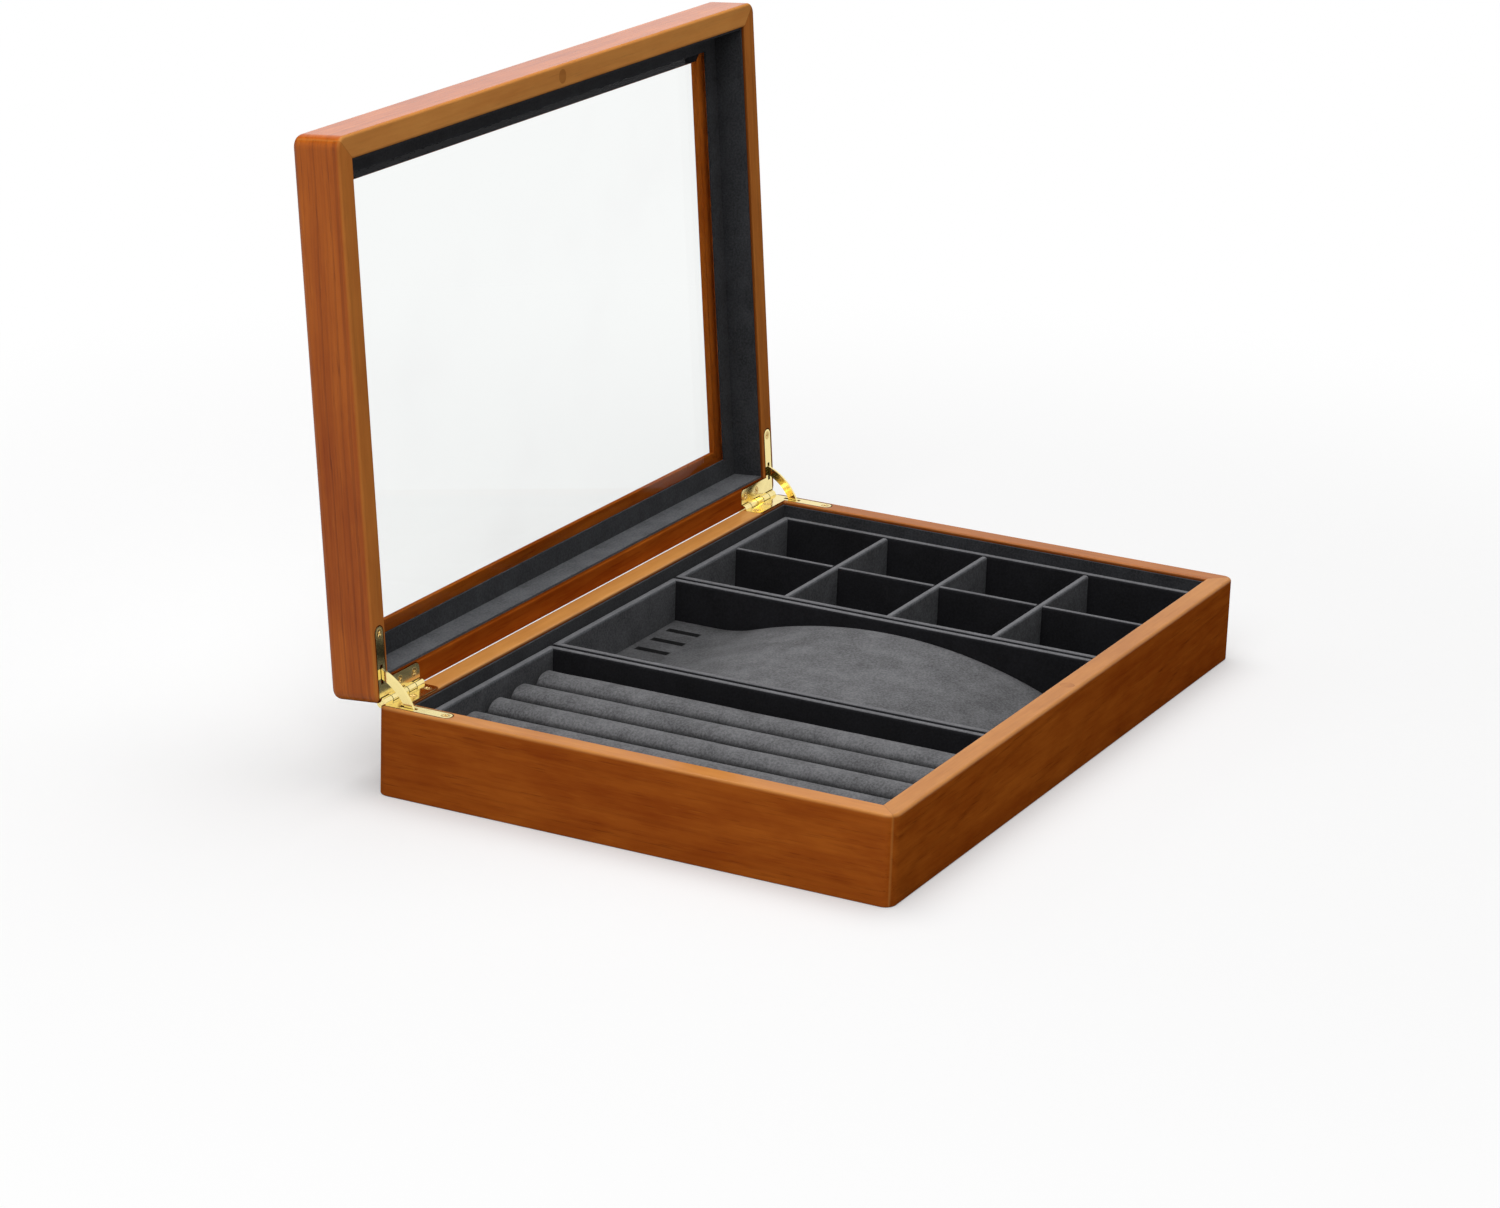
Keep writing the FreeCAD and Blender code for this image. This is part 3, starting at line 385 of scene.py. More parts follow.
def grain_marks(place, wood, pith, figure):
    """Masks of a grain that runs along X. Growth rings are distances from a pith line that leans a little
    against the grain, so that they show as stripes and arches. Fibres, pores and flecks are noise drawn
    out along the grain, and the tone is the mottled stain between them."""
    pith_y, pith_z, lean, slide = pith
    x = place.node("SeparateXYZ", None, {"Vector": place})
    across = x.other("Y") - pith_y + (x - slide) * lean
    up = x.other("Z") - pith_z
    sway = place.stretched(6, 30).noise(2.0) - 0.5
    radius = (across * across + up * up) ** 0.5 + sway * (2.2 * wood.ring_width)
    ring = place.node("TexNoise", {"noise_dimensions": "1D"},
                      {"W": radius / wood.ring_width, "Scale": 1.6, "Detail": 2.0, "Roughness": 0.6})
    late = ring.step(0.46, 0.74)
    fibre = place.stretched(24, 900).noise(3.0, 0.6)
    streak = place.stretched(9, 170).noise(3.0, 0.55).step(0.30, 0.70)
    mottle = place.stretched(38, 130).noise(3.0, 0.6).step(0.30, 0.70)
    cloud = place.stretched(9, 20).noise(2.0).step(0.30, 0.70)
    fleck = place.stretched(70, 560).noise(1.0).step(0.64, 0.76)
    pore = place.stretched(80, 1900).noise(1.0).step(0.60, 0.74) * (0.4 + late * 0.6)
    tone = (streak * (0.15 + 0.20 * figure) + mottle * (0.40 - 0.20 * figure) + cloud * 0.30
            + fibre.step(0.25, 0.75) * 0.15)
    return late, fibre, fleck, pore, tone


def board_masks(shut):
    """Masks of the places on a board, for the shut lid: the rim where base and lid meet, the outer face, the
    upright arris at a corner of the case, the lip over the glass, the inner face, the seam of a mitre and
    the edge of a hinge mortise. Depth is the distance from the nearest outer face, and both depths are
    alike on a mitre. A leaf is a round tip with straight sides: sqrt(x^2 + min(y, 0)^2) = half its width."""
    x = shut.node("SeparateXYZ", None, {"Vector": shut})
    y, height = x.other("Y"), x.other("Z")
    side_depth, front_depth = HALF_LENGTH - abs(x), HALF_DEPTH - abs(y)
    depth = side_depth.smaller(front_depth)
    rim = abs(height - HINGE_Z).step(1.7 * MM, 0.3 * MM)
    outer = depth.step(1.2 * MM, 0.2 * MM)
    arris = side_depth.larger(front_depth).step(2.1 * MM, 1.5 * MM) * (1 - rim)
    lip = (abs(height - CEILING - GLASS_THICK).step(0.4 * MM, 0.2 * MM) * depth.step(WALL, WALL + 1 * MM)
           * depth.step(FRAME_WIDTH, FRAME_WIDTH - 0.2 * MM))
    inner = (depth.step(WALL - 0.5 * MM, WALL - 0.1 * MM) * height.step(20 * MM, 24 * MM)
             * height.step(CEILING - 0.4 * MM, CEILING - 0.6 * MM))
    seam = abs(side_depth - front_depth).step(0.34 * MM, 0.12 * MM) * rim
    tip = y - (LEAF[0].y + LEAF_HALF)
    leaf = ((abs(x) - LEAF_MIDDLE) ** 2.0 + tip.smaller(0) ** 2.0) ** 0.5 - LEAF_HALF
    mortise = abs(leaf - 0.2 * MM).step(0.6 * MM, 0.25 * MM) * rim
    return rim, outer, arris, lip, inner, seam, mortise


def wood_material(name, wood, turn, pith, figure=1.0, stain_and_light=1.0, wear_and_light=0.0, gloss=0.03, lip_shadow=0.0,
                  colours=None):
    """Stained wood under lacquer, with its grain along X after a turn about Z. Figure is how plain the rings
    show, stain darkens or lightens a whole board, as staining and as painted shade and painted light for how
    light falls on it, wear pales its rim, as thinner staining and as painted light, and gloss is the weight of
    the lacquer on its outer face. A dark lip paints a shadow over the frame's lip beside the glass strips."""
    light, middle, dark = colours or (wood.light, wood.middle, wood.dark)
    deep = rgba(dark, stain_and_light / 2)
    light, middle, dark = rgba(light, stain_and_light), rgba(middle, stain_and_light), rgba(dark, stain_and_light)
    on_lid = name.startswith("lid")
    material, flow = new_material(name + "_wood")
    shut = shut_place(flow) if on_lid else flow.node("TexCoord", output="Object")
    place = flow.node("Mapping", None, {
        "Vector": shut, "Rotation": (0, 0, turn), "Location": (pith[3], 0, 0)})
    late, fibre, fleck, pore, tone = grain_marks(place, wood, pith, figure)
    rim, outer, arris, lip, inner, seam, mortise = board_masks(shut)
    body = (tone + fleck * 0.22).blend(middle, light)
    ringed = (late * (wood.ring_contrast * figure) + (1 - tone) * 0.26).blend(body, dark)
    pored = (pore * 0.45).blend(ringed, dark)
    # Painted light and wear: the rim is paled towards the rim colour, partly thinner staining and partly painted
    # light from above.
    paled = (rim * (0.6 + 0.4 * tone) * (wear_and_light * wood.rim_wear_and_light)).blend(pored, rgba(wood.rim))
    # Painted highlight along the upright arris at each corner of the case.
    arris_highlight = (arris * 0.22).blend(paled, rgba(wood.rim))
    # Painted shade in the gap round each hinge leaf and on the inner faces under the rim; the mitre seam is a real
    # dark joint.
    shade = (mortise * 0.85).larger((seam * 0.2).larger(inner * wood.inner_shade))
    # Painted shadow: a near-black lip on the frame beside the glass strips, on the front rail.
    stained = (lip * lip_shadow).blend(shade.blend(arris_highlight, deep), rgba(wood.lip))
    grain = (1 - pore) * 0.8 + fibre * 0.2
    surface = flow.node("BsdfPrincipled", None, {
        "Base Color": stained, "Roughness": 0.40 - late * 0.06 + fibre * 0.10,
        "Normal": flow.node("Bump", None, {"Strength": 0.35, "Distance": wood.pore_depth, "Height": grain}),
        "Coat Weight": rim * (0 if on_lid else wood.rim_lacquer) + (1 - rim) * outer * gloss,
        "Coat Roughness": wood.lacquer_roughness, "Coat IOR": LACQUER_IOR, "Specular IOR Level": 0.0})
    return close_material(material, surface)


def velvet_material(name, velvet, colour, edge_height=None, with_shade=False):
    """Short pile: tufts as fine noise in colour and bump, and soft patches where the nap leans over.
    Above an edge height the pile over a board's edge is paler. On a piece with painted shade, the mesh's own
    attribute darkens the pile as painted shade in the rolls' creases, in and round the pad's slits and towards the
    pad's ends."""
    material, flow = new_material(name)
    place = flow.node("TexCoord", output="Object")
    tuft = place.stretched(1 / velvet.fibre, 1 / velvet.fibre).noise(2.0, 0.7)
    nap = place.stretched(1 / velvet.cloud, 1 / velvet.cloud).noise(3.0, 0.6)
    lean = nap.step(0.25, 0.75) * 0.42 + tuft.step(0.28, 0.72) * 0.58
    pile = lean.blend(rgba(colour, 0.50), rgba(colour, 1.56))
    if edge_height:
        z = place.node("SeparateXYZ", None, {"Vector": place}, "Z")
        paled = z.step(edge_height - 0.4 * MM, edge_height - 0.05 * MM) * (0.55 + 0.45 * lean)
        pile = paled.blend(pile, rgba(velvet.edge))
    if with_shade:
        # Painted shade: the mesh's attribute darkens the pile in creases, slits and towards the pad's ends.
        crease = flow.node("Attribute", {"attribute_name": "crease"}, None, "Fac")
        pile = crease.blend(pile, rgba(colour, 0.06))
    surface = flow.node("BsdfPrincipled", None, {
        "Base Color": pile, "Roughness": 0.86 + tuft * 0.12,
        "Normal": flow.node("Bump", None, {"Strength": 0.45, "Distance": 0.25 * MM, "Height": tuft}),
        "Sheen Weight": velvet.sheen, "Sheen Roughness": 0.55, "Specular IOR Level": 0.12})
    return close_material(material, surface)


def metal_material(name, colour, dull, polish):
    """Polished metal: faint brushed scratches in roughness, and a darker tint in soft patches."""
    material, flow = new_material(name)
    place = flow.node("TexCoord", output="Object")
    scratch = place.stretched(900, 5200).noise(2.0)
    patch = place.stretched(160, 160).noise(2.0)
    surface = flow.node("BsdfPrincipled", None, {
        "Base Color": (patch.step(0.45, 0.85) * 0.22).blend(rgba(colour), rgba(dull)), "Metallic": 1.0,
        "Roughness": scratch * 0.06 + patch * 0.08 + (polish - 0.06),
        "Normal": flow.node("Bump", None, {"Strength": 0.03, "Distance": 0.02 * MM, "Height": scratch})})
    return close_material(material, surface)


def glass_material(name):
    """Clear float glass, with a faint smear of dust in its colour."""
    material, flow = new_material(name)
    dust = flow.node("TexCoord", output="Object").stretched(14, 14).noise(3.0).step(0.45, 0.85)
    surface = flow.node("BsdfPrincipled", None, {
        "Base Color": dust.blend((0.93, 0.945, 0.937, 1), (0.905, 0.915, 0.91, 1)),
        "Roughness": 0.0, "IOR": GLASS_IOR, "Transmission Weight": 1.0})
    return close_material(material, surface)


def quads(rows, columns, wrapped):
    """Corner numbers of the quads of a grid of points. A wrapped grid closes from last column to first."""
    sides = np.arange(columns if wrapped else columns - 1)
    row, column = np.meshgrid(np.arange(rows - 1) * columns, sides, indexing="ij")
    after = (column + 1) % columns
    corners = [row + columns + column, row + columns + after, row + after, row + column]
    return np.stack([corner.ravel() for corner in corners], axis=1)


def tube_faces(rows, columns):
    """Faces of a tube of rings of points, closed at both ends by triangles to a pole. The two poles come
    after the grid's own points."""
    ring = np.arange(columns)
    after = np.roll(ring, -1)
    first, last = np.full(columns, rows * columns), np.full(columns, rows * columns + 1)
    end = (rows - 1) * columns
    return [*quads(rows, columns, True), *np.stack([first, ring, after], axis=1),
            *np.stack([last, end + after, end + ring], axis=1)]


def new_mesh(name, points, faces):
    mesh = bpy.data.meshes.new(name)
    mesh.from_pydata(points.tolist(), [], [face.tolist() for face in faces])
    return mesh


def new_piece(name, points, faces, material, body, crease=None):
    """A mesh object at the origin with its place in its points, smooth, riding on a body."""
    mesh = new_mesh(name, points, faces)
    mesh.polygons.foreach_set("use_smooth", np.ones(len(mesh.polygons), bool))
    if crease is not None:
        mesh.attributes.new("crease", "FLOAT", "POINT").data.foreach_set("value", crease.astype(np.float32))
    mesh.materials.append(material)
    mesh.update()
    piece = bpy.data.objects.new(name, mesh)
    bpy.context.scene.collection.objects.link(piece)
    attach(piece, body)
    return piece


def filled(points, faces, soft):
    """The points of a closed cover after Blender's Cloth has blown it up without gravity. Each point starts a
    slack inside its place along its normal and ends no further than the swell from there."""
    scene = bpy.context.scene
    mesh = new_mesh("cover", points, faces)
    normals = np.empty(points.size)
    mesh.vertex_normals.foreach_get("vector", normals)
    start = points - soft.slack * normals.reshape(-1, 3)
    mesh.vertices.foreach_set("co", start.ravel())
    mesh.update()
    cover = bpy.data.objects.new("cover", mesh)
    scene.collection.objects.link(cover)
    cloth = cover.modifiers.new("cover", "CLOTH")
    cloth.settings.quality = 6
    cloth.settings.mass = 0.002
    cloth.settings.use_pressure = True
    cloth.settings.uniform_pressure_force = soft.pressure
    cloth.settings.effector_weights.gravity = 0
    cloth.point_cache.frame_start = 1
    cloth.point_cache.frame_end = soft.frames
    for number in range(1, soft.frames + 1):
        scene.frame_set(number)
    moved = np.empty(points.size)
    blown = cover.evaluated_get(bpy.context.evaluated_depsgraph_get())
    blown.data.vertices.foreach_get("co", moved)
    bpy.data.objects.remove(cover)
    bpy.data.meshes.remove(mesh)
    scene.frame_set(1)
    shift = moved.reshape(-1, 3) - start
    length = np.linalg.norm(shift, axis=1, keepdims=True)
    return start + shift * np.minimum(1, soft.swell / np.maximum(length, 1e-9))


def drawn_in(distance, radius):
    """How far a cover is drawn in at a distance from its end: r - sqrt(r^2 - (r - d)^2) within a radius r."""
    inside = np.clip(radius - distance, 0, radius)
    return radius - np.sqrt(radius ** 2 - inside ** 2)


def roll_surface(low, high, soft, phase):
    """A ring roll along Y: two half superellipses, |x/a|^n + |z/b|^n = 1, with n near 2 over the middle and
    larger below it, shrunk at each end by the drawn-in cover and closed by a flat end with a pole. The foam
    under the cover sways by two products of sines, along the roll and around it."""
    low, high = np.array(low), np.array(high)
    half = (high[0] - low[0]) / 2
    centre = (low + high) / 2
    middle = low[2] + ROLL_MIDDLE * (high[2] - low[2])
    reach = (high[1] - low[1]) / 2
    end = soft.roll_end * (1 - np.cos(np.linspace(0, math.pi / 2, ROLL_END_RINGS + 1)[:-1]))
    inner = np.linspace(-reach + soft.roll_end, reach - soft.roll_end, ROLL_RINGS)
    y = np.concatenate([-reach + end, inner, (reach - end)[::-1]])[:, None]
    angle = np.linspace(0, FULL_TURN, ROLL_SIDES + 1)[:-1]
    cos, sin = np.cos(angle), np.sin(angle)
    power = np.where(sin >= 0, soft.roll_top, soft.roll_foot)
    across = np.sign(cos) * np.abs(cos) ** (2 / power)
    upward = np.sign(sin) * np.abs(sin) ** (2 / power)
    inset = drawn_in(reach - np.abs(y), soft.roll_end)
    wave = np.sin(y * ROLL_WAVE + phase) * np.cos(angle + phase)
    ripple = 0.6 * np.sin(y * ROLL_RIPPLE + 2 * phase) * np.cos(2 * angle - phase)
    sway = soft.roll_sway * (wave + ripple) * np.maximum(sin, 0)
    rise = np.where(sin >= 0, high[2] - middle, middle - low[2])
    x = across * (half - inset)
    z = middle + upward * (rise - inset * (sin > 0)) + np.minimum(sway, 0)
    grid = np.stack([centre[0] + x, np.broadcast_to(y + centre[1], x.shape), z], axis=2)
    poles = np.stack([grid[0].mean(axis=0), grid[-1].mean(axis=0)])
    return np.concatenate([grid.reshape(-1, 3), poles]), tube_faces(*grid.shape[:2])


def pad_height(y, low, high, soft):
    """Height of the pad's top along Y: a hump of large radius, tangent to a hollow that runs out into a
    flat part at the back. Both arcs are circles, so z = centre +- sqrt(r^2 - (y - centre)^2)."""
    crest_y = -soft.pad_crest_forward
    hump_z = high[2] - soft.pad_hump
    flat_z = low[2] + soft.pad_low
    radii = soft.pad_hump + soft.pad_hollow
    rise = high[2] - flat_z
    hollow_y = crest_y + math.sqrt(2 * radii * rise - rise ** 2)
    meet_y = crest_y + (hollow_y - crest_y) * soft.pad_hump / radii
    hump = hump_z + np.sqrt(np.maximum(soft.pad_hump ** 2 - (y - crest_y) ** 2, 0))
    hollow = flat_z + soft.pad_hollow - np.sqrt(np.maximum(soft.pad_hollow ** 2 - (y - hollow_y) ** 2, 0))
    return np.where(y < meet_y, hump, np.where(y < hollow_y, hollow, flat_z))


def fine_lines(low, high, marks, edge):
    """Grid lines from low to high at the pad's step, with extra lines on both sides of each mark and over the
    rounded edge at each end."""
    lines = np.linspace(low, high, int(round((high - low) / PAD_STEP)) + 1)
    marks = np.array(marks)
    extra = np.concatenate([marks - SLIT_LIP, marks, marks + SLIT_LIP])
    kept = lines[np.abs(lines[:, None] - extra[None, :]).min(axis=1) > SLIT_LIP]
    rounding = PAD_EDGE_LINES * edge
    return np.unique(np.concatenate([kept, extra, [low, high], low + rounding, high - rounding]))


def pad_surface(low, high, soft):
    """The necklace pad as a height over a grid, with slits let down into it, closed by sides and a base. Its
    painted shade is 1 in the slits and a narrow band round them, where no light comes, and small towards back and
    front."""
    low, high = np.array(low), np.array(high)
    slit_x = (np.arange(SLITS) - (SLITS - 1) / 2) * soft.slit_spacing
    slit_high = high[1] - soft.slit_inset
    slit_low = slit_high - soft.slit_length
    half = soft.slit_width / 2
    # Painted shade: a narrow band round each slit is as dark as the slit.
    dark = 3 * SLIT_LIP
    sides = np.concatenate([slit_x - half, slit_x + half, slit_x - half - dark, slit_x + half + dark])
    ends = [slit_low - dark, slit_low, slit_high, slit_high + dark]
    grid_x, grid_y = np.meshgrid(fine_lines(low[0], high[0], sides, soft.pad_edge),
                                 fine_lines(low[1], high[1], ends, soft.pad_edge), indexing="ij")
    to_edge = np.minimum(np.minimum(grid_x - low[0], high[0] - grid_x),
                         np.minimum(grid_y - low[1], high[1] - grid_y))
    top = pad_height(grid_y, low, high, soft) - drawn_in(to_edge, soft.pad_edge)
    nearest = np.abs(grid_x[:, :, None] - slit_x).min(axis=2)
    within = np.minimum(grid_y - slit_low, slit_high - grid_y)
    inside = np.clip((half - nearest) / SLIT_LIP, 0, 1) * np.clip(within / SLIT_LIP, 0, 1)
    top = np.maximum(top - soft.slit_depth * inside, low[2] + 0.2 * MM)
    mouth = (nearest < half + dark / 2) & (within > -dark / 2)
    # Painted shade towards the pad's back and front.
    end_shade = (np.interp(grid_y, BACK_SHADE_REACH, (0, soft.back_shade))
              + np.interp(-grid_y, FRONT_SHADE_REACH, (0, soft.front_shade)))
    crease = np.where(mouth, 1.0, end_shade)
    upper = np.stack([grid_x, grid_y, top], axis=2).reshape(-1, 3)
    number = np.arange(top.size).reshape(top.shape)
    border = np.concatenate([number[:-1, 0], number[-1, :-1], number[:0:-1, -1], number[0, :0:-1]])
    lower = upper[border] * (1, 1, 0) + (0, 0, low[2])
    below = len(upper) + np.arange(len(border))
    walls = np.stack([below, np.roll(below, -1), np.roll(border, -1), border], axis=1)
    faces = [*quads(*top.shape, False), *walls, below[::-1]]
    return np.concatenate([upper, lower]), faces, np.concatenate([crease.ravel(), np.ones(len(lower))])


def screw_surface(screw):
    """A countersunk screw that points down from the origin: a profile turned about Z, of a flat face, a low
    edge, a cone, a shank and a blunt point. The cross recess is where |x| is under the arm's half width and
    |y| under its half length, or the other way round."""
    angle = np.linspace(0, FULL_TURN, SCREW_SIDES + 1)[:-1]
    face = screw.head * HEAD_RINGS
    under = np.array([screw.head, screw.shank, screw.shank, 0.3 * screw.shank])
    depth = np.array([0.15 * screw.head_depth, screw.head_depth, 0.8 * screw.length, screw.length])
    radius = np.concatenate([face, under])[:, None]
    fall = np.concatenate([np.zeros(len(face)), depth])[:, None]
    x, y = radius * np.cos(angle), radius * np.sin(angle)
    narrow, wide = np.minimum(np.abs(x), np.abs(y)), np.maximum(np.abs(x), np.abs(y))
    arm = (np.clip((screw.recess_width - narrow) / RECESS_SLOPE, 0, 1)
           * np.clip((screw.recess_arm - wide) / RECESS_SLOPE, 0, 1))
    on_face = (np.arange(len(radius)) < len(face))[:, None]
    grid = np.stack([x, y, -fall - screw.recess * arm * on_face], axis=2)
    points = np.concatenate([grid.reshape(-1, 3), [[0, 0, -screw.recess], [0, 0, -screw.length]]])
    return points, tube_faces(*grid.shape[:2])


def screw_places(screw):
    """Where the screws of both leaves on the base's rim stand, each with the turn of its recess."""
    places = []
    for side, sign in (("left", -1), ("right", 1)):
        low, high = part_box(f"{side}_hinge_base_leaf")
        inner = low.x if sign > 0 else high.x
        spots = [(sign * LEAF_MIDDLE, low.y + screw.arm_inset)]
        spots += [(inner + sign * (screw.end_inset + step * screw.spacing), HINGE_Y - screw.row)
                  for step in (0, 1)]
        places += [(x, y, RECESS_TURN + RECESS_STEP * number + sign) for number, (x, y) in enumerate(spots)]
    return places


class JEWELRY_OT_wood(bpy.types.Operator):
    """Lacquered wood on the walls, the lid's rails, the plugs and the bottom panel"""
    bl_idname = "jewelry.wood"
    bl_label = "Finish the wood"

    def execute(self, context):
        wood = context.scene.jewelry_box.wood
        for name, look in BOARDS.items():
            dress(name, wood_material(name, wood, *look))
        panel = [rgba(wood.panel, share)[:3] for share in (1.15, 1.0, 0.6)]
        dress("bottom_panel", wood_material("bottom_panel", wood, 0, (0.02, -0.09, 0.02, 2.4), colours=panel))
        return {"FINISHED"}


class JEWELRY_OT_velvet(bpy.types.Operator):
    """Charcoal velvet on the linings, the glass strips, the trays and the dividers"""
    bl_idname = "jewelry.velvet"
    bl_label = "Line with velvet"

    def execute(self, context):
        velvet = context.scene.jewelry_box.velvet
        lining = velvet_material("lining_velvet", velvet, velvet.lining)
        lit_lining = velvet_material("brushed_velvet", velvet, velvet.lit_lining)
        boards = {}
        for part in frame["record"]["subparts"]:
            node = part["node"]
            if part["material_slot"] != "charcoal_velvet":
                continue
            if node.endswith("floor") or not ("tray" in node or "divider" in node):
                dress(node, lining)
                continue
            (low_x, low_y, _), (high_x, high_y, top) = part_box(node)
            # Painted shade and painted light: walls running front to back take the darker copy, walls running
            # across the lighter one.
            lies_along = high_y - low_y > high_x - low_x and node != "cross_dividers"
            kind = ("divider" if "divider" in node else "tray", "along" if lies_along else "across")
            if kind not in boards:
                colour = velvet.along if lies_along else velvet.across
                boards[kind] = velvet_material("_".join(kind) + "_velvet", velvet, colour, top)
            dress(node, boards[kind])
        # Painted light: the lid's back lining takes the lighter copy.
        dress("lid_back_lining", lit_lining)
        return {"FINISHED"}


class JEWELRY_OT_metal(bpy.types.Operator):
    """Polished brass on the hinges and stays, and nickel on the magnets"""
    bl_idname = "jewelry.metal"
    bl_label = "Polish the metal"

    def execute(self, context):
        metal = context.scene.jewelry_box.metal
        finishes = {
            "polished_brass": metal_material("hinge_brass", metal.brass, metal.tarnish, metal.polish),
            "screw_brass": metal_material("screw_brass", metal.screw, metal.tarnish, metal.polish + 0.08),
            "magnet_nickel": metal_material("magnet_nickel", metal.nickel, metal.nickel, metal.polish + 0.1),
        }
        for part in frame["record"]["subparts"]:
            if part["material_slot"] in finishes:
                dress(part["node"], finishes[part["material_slot"]])
        return {"FINISHED"}


class JEWELRY_OT_screws(bpy.types.Operator):
    """Countersunk screws with cross recesses in the hinge leaves"""
    bl_idname = "jewelry.screws"
    bl_label = "Drive the screws"

    def execute(self, context):
        screw = context.scene.jewelry_box.screws
        points, faces = screw_surface(screw)
        hinge = Matrix.Translation(Vector(HINGE["pos_m"]))
        swing = hinge @ Matrix.Rotation(-SHUT_TURN, 4, "X") @ hinge.inverted()
        halves = {
            "base_hinge_screws": ("base", Matrix.Identity(4), BASE_TOP, 0),
            "lid_hinge_screws": ("lid", swing, 2 * HINGE_Z - BASE_TOP, math.pi),
        }
        for node, (body, turn, rim, facing) in halves.items():
            all_points, all_faces = [], []
            for x, y, spin in screw_places(screw):
                place = turn @ Matrix.Translation((x, y, rim)) @ Matrix.Rotation(facing, 4, "X")
                matrix = np.array(place @ Matrix.Rotation(spin, 4, "Z"))
                first = len(points) * len(all_points)
                all_faces += [face + first for face in faces]
                all_points.append(points @ matrix[:3, :3].T + matrix[:3, 3])
            material = frame["nodes"][node].data.materials[0]
            piece = new_piece(
                "detailed_" + node, np.concatenate(all_points), all_faces, material, body)
            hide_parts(node)
        return {"FINISHED"}


class JEWELRY_OT_glass(bpy.types.Operator):
    """Clear glass in the lid"""
    bl_idname = "jewelry.glass"
    bl_label = "Glaze the lid"

    def execute(self, context):
        dress("glass_pane", glass_material("lid_glass"))
        return {"FINISHED"}


class JEWELRY_OT_rolls(bpy.types.Operator):
    """Velvet-covered foam rolls in the ring tray"""
    bl_idname = "jewelry.rolls"
    bl_label = "Lay the ring rolls"

    def execute(self, context):
        settings = context.scene.jewelry_box
        soft = settings.soft
        material = velvet_material("roll_velvet", settings.velvet, settings.velvet.pad, with_shade=True)
        for number in range(1, ROLLS + 1):
            node = f"ring_roll_{number}"
            low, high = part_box(node)
            points, faces = roll_surface(low, high, soft, ROLL_PHASE * number)
            points = np.clip(filled(points, faces, soft), low, high)
            # Painted shade: the pile darkens below a roll's crest, in the creases between the rolls.
            crease = np.clip((high.z - soft.crease_start - points[:, 2]) / soft.crease_reach, 0, 1)
            piece = new_piece(
                f"soft_roll_{number}", points, faces, material, "ring_tray", crease)
            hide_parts(node)
        return {"FINISHED"}


class JEWELRY_OT_pad(bpy.types.Operator):
    """The arched, slit pad in the necklace tray"""
    bl_idname = "jewelry.pad"
    bl_label = "Set in the necklace pad"

    def execute(self, context):
        settings = context.scene.jewelry_box
        material = velvet_material("pad_velvet", settings.velvet, settings.velvet.pad, with_shade=True)
        low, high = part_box("necklace_pad")
        points, faces, crease = pad_surface(low, high, settings.soft)
        piece = new_piece(
            "soft_necklace_pad", points, faces, material, "necklace_tray", crease)
        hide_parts("necklace_pad")
        return {"FINISHED"}


def look_axes(azimuth, elevation, roll):
    """Camera axes (right, up, back) for a view direction and a roll about it."""
    back = np.array([math.sin(azimuth) * math.cos(elevation), -math.cos(azimuth) * math.cos(elevation),
                     math.sin(elevation)])
    right = np.cross([0, 0, 1], back)
    right /= np.linalg.norm(right)
    up = np.cross(back, right)
    cos, sin = math.cos(roll), math.sin(roll)
    return cos * right - sin * up, sin * right + cos * up, back


def plain_rays(flow):
    """1 for the rays that show the background: to the camera, in gloss and through glass."""
    camera = flow.node("LightPath", output="Is Camera Ray")
    return camera.larger(camera.other("Is Glossy Ray").larger(camera.other("Is Transmission Ray")))


def lay_floor(stage):
    """A pale floor that keeps the box's shadow near it and runs out into plain white further away."""
    corners = np.array([(-1, -1, 0), (1, -1, 0), (1, 1, 0), (-1, 1, 0)]) * FLOOR_REACH
    mesh = new_mesh("floor", corners, [np.arange(4)])
    material, flow = new_material("floor")
    place = flow.node("TexCoord", output="Object")
    distance = flow.node("VectorMath", {"operation": "LENGTH"}, {0: place}, "Value")
    share = distance.step(SHADOW_REACH, stage.floor_clear) * (1 - stage.floor_glow) + stage.floor_glow
    glow = flow.node("Emission", None, {"Color": WHITE, "Strength": 1.0})
    pale = flow.node("BsdfDiffuse", None, {"Color": rgba(stage.floor)})
    shown = flow.node("MixShader", None, {0: share, 1: pale, 2: glow})
    bounce = flow.node("BsdfDiffuse", None, {"Color": rgba(stage.bounce)})
    close_material(material, flow.node("MixShader", None, {0: plain_rays(flow), 1: bounce, 2: shown}))
    mesh.materials.append(material)
    floor = bpy.data.objects.new("floor", mesh)
    bpy.context.scene.collection.objects.link(floor)


def light_world(stage):
    """A world that shows as plain white and lights the box softly from all around."""
    world = bpy.data.worlds.new("studio")
    bpy.context.scene.world = world
    world.use_nodes = True
    tree = world.node_tree
    strength = plain_rays(Flow(tree)) * (1 - stage.ambient) + stage.ambient
    background = next(n for n in tree.nodes if n.bl_idname == "ShaderNodeBackground")
    background.inputs["Color"].default_value = WHITE
    tree.links.new(strength.socket, background.inputs["Strength"])


def area_lamp(name, power, size, place):
    """A square lamp at a place, turned to the middle of the box."""
    lamp = bpy.data.lights.new(name, "AREA")
    lamp.energy = power
    lamp.size = size
    holder = bpy.data.objects.new(name, lamp)
    bpy.context.scene.collection.objects.link(holder)
    holder.location = place
    holder.rotation_euler = (LAMP_TARGET - Vector(place)).to_track_quat("-Z", "Y").to_euler()


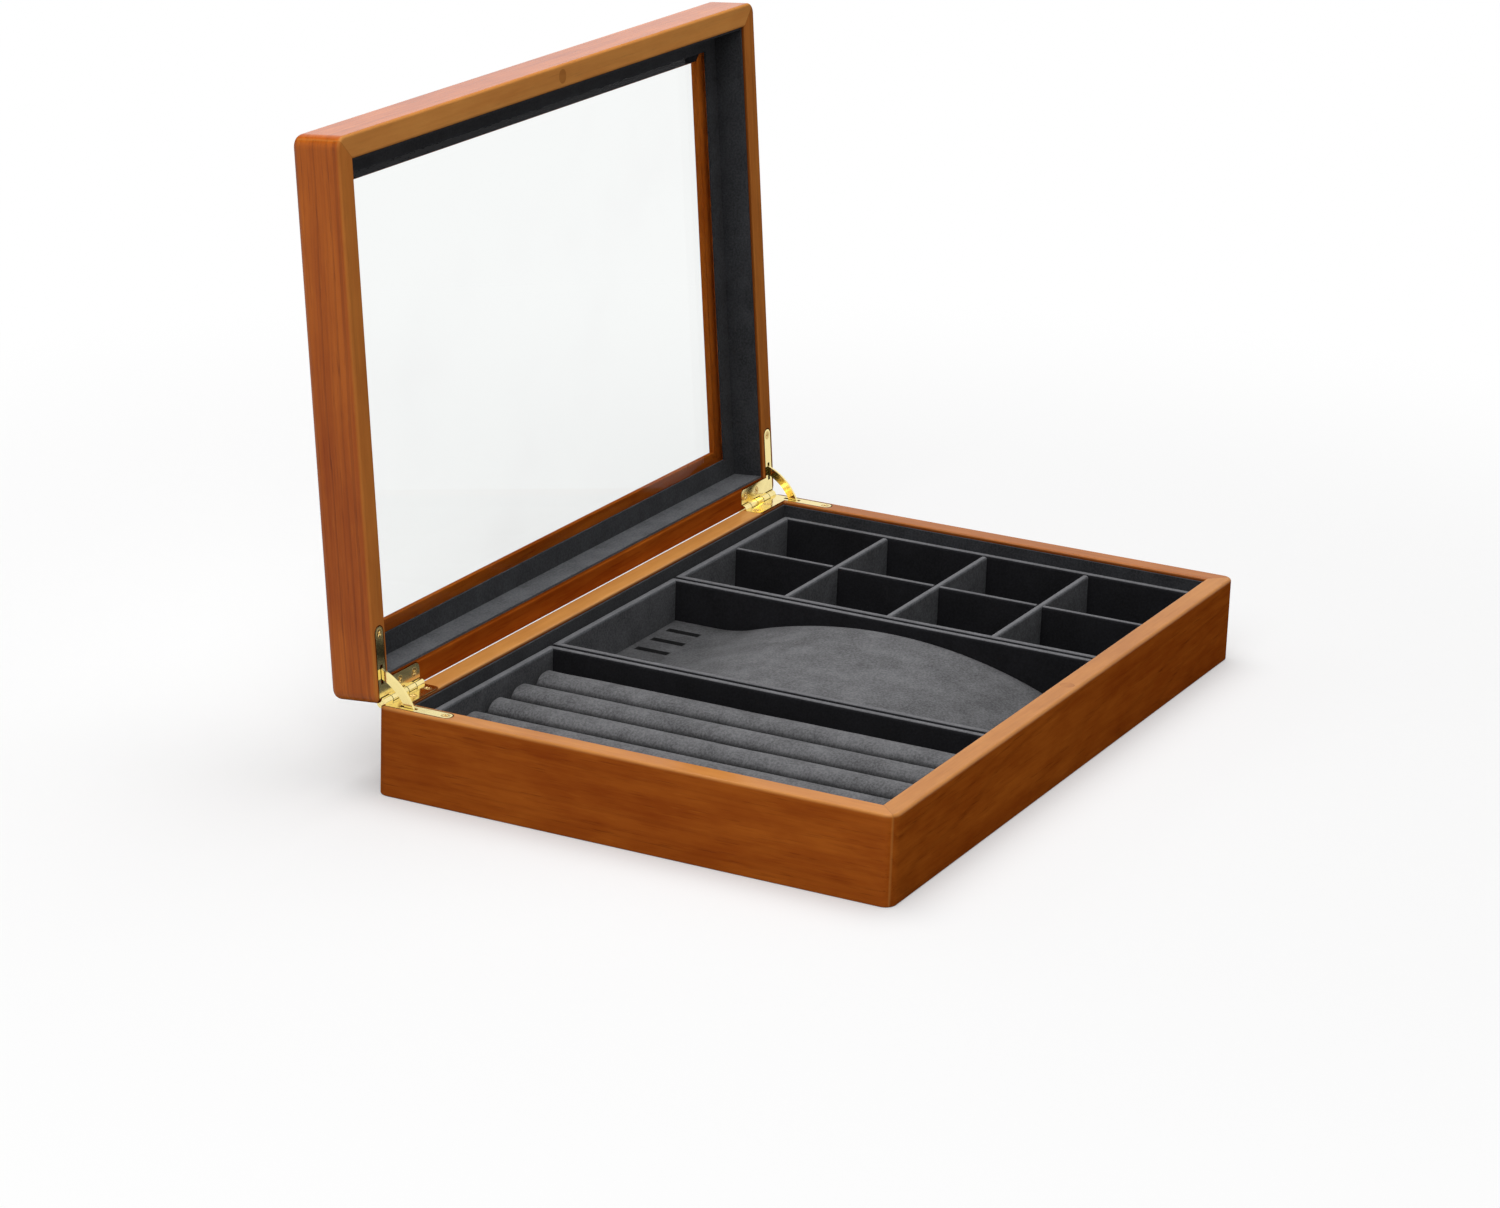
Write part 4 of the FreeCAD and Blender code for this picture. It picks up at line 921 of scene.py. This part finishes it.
def set_camera(stage):
    """The camera at the place and the turn from which the box is shown."""
    camera = bpy.data.cameras.new("camera")
    camera.lens = stage.focal
    camera.sensor_width = 36
    camera.clip_start = 0.05
    camera.clip_end = 60
    holder = bpy.data.objects.new("camera", camera)
    bpy.context.scene.collection.objects.link(holder)
    axes = look_axes(CAMERA_AZIMUTH, CAMERA_ELEVATION, CAMERA_ROLL)
    holder.matrix_world = Matrix([*zip(*axes, CAMERA_PLACE), (0, 0, 0, 1)])
    bpy.context.scene.camera = holder


class JEWELRY_OT_stage(bpy.types.Operator):
    """Pale floor, soft studio light and the camera"""
    bl_idname = "jewelry.stage"
    bl_label = "Set the stage"

    def execute(self, context):
        stage = context.scene.jewelry_box.stage
        context.scene.view_settings.view_transform = "Standard"
        lay_floor(stage)
        light_world(stage)
        area_lamp("key_lamp", stage.key, *KEY_LAMP)
        area_lamp("top_lamp", stage.top, *TOP_LAMP)
        set_camera(stage)
        return {"FINISHED"}


class JEWELRY_PT_panel(bpy.types.Panel):
    """Lists the steps that dress the box"""
    bl_label = "Jewelry box"
    bl_idname = "JEWELRY_PT_panel"
    bl_space_type = "VIEW_3D"
    bl_region_type = "UI"
    bl_category = "Jewelry box"

    def draw(self, context):
        for operator in OPERATORS:
            self.layout.operator(operator.bl_idname)


SETTINGS = (WoodSettings, VelvetSettings, MetalSettings, ScrewSettings, SoftSettings, StageSettings,
            JewelryBoxSettings)
OPERATORS = (JEWELRY_OT_stage, JEWELRY_OT_wood, JEWELRY_OT_velvet, JEWELRY_OT_metal, JEWELRY_OT_screws,
             JEWELRY_OT_glass, JEWELRY_OT_rolls, JEWELRY_OT_pad)
CLASSES = (*SETTINGS, *OPERATORS, JEWELRY_PT_panel)


def register():
    for cls in CLASSES:
        bpy.utils.register_class(cls)
    bpy.types.Scene.jewelry_box = group_property(
        JewelryBoxSettings, "Jewelry box", "Sizes and colours of the jewelry box")


def unregister():
    del bpy.types.Scene.jewelry_box
    for cls in reversed(CLASSES):
        bpy.utils.unregister_class(cls)


def main():
    register()
    bpy.ops.jewelry.stage()
    bpy.ops.jewelry.wood()
    bpy.ops.jewelry.velvet()
    bpy.ops.jewelry.metal()
    bpy.ops.jewelry.screws()
    bpy.ops.jewelry.glass()
    bpy.ops.jewelry.rolls()
    bpy.ops.jewelry.pad()


if __name__ == "__main__":
    main()
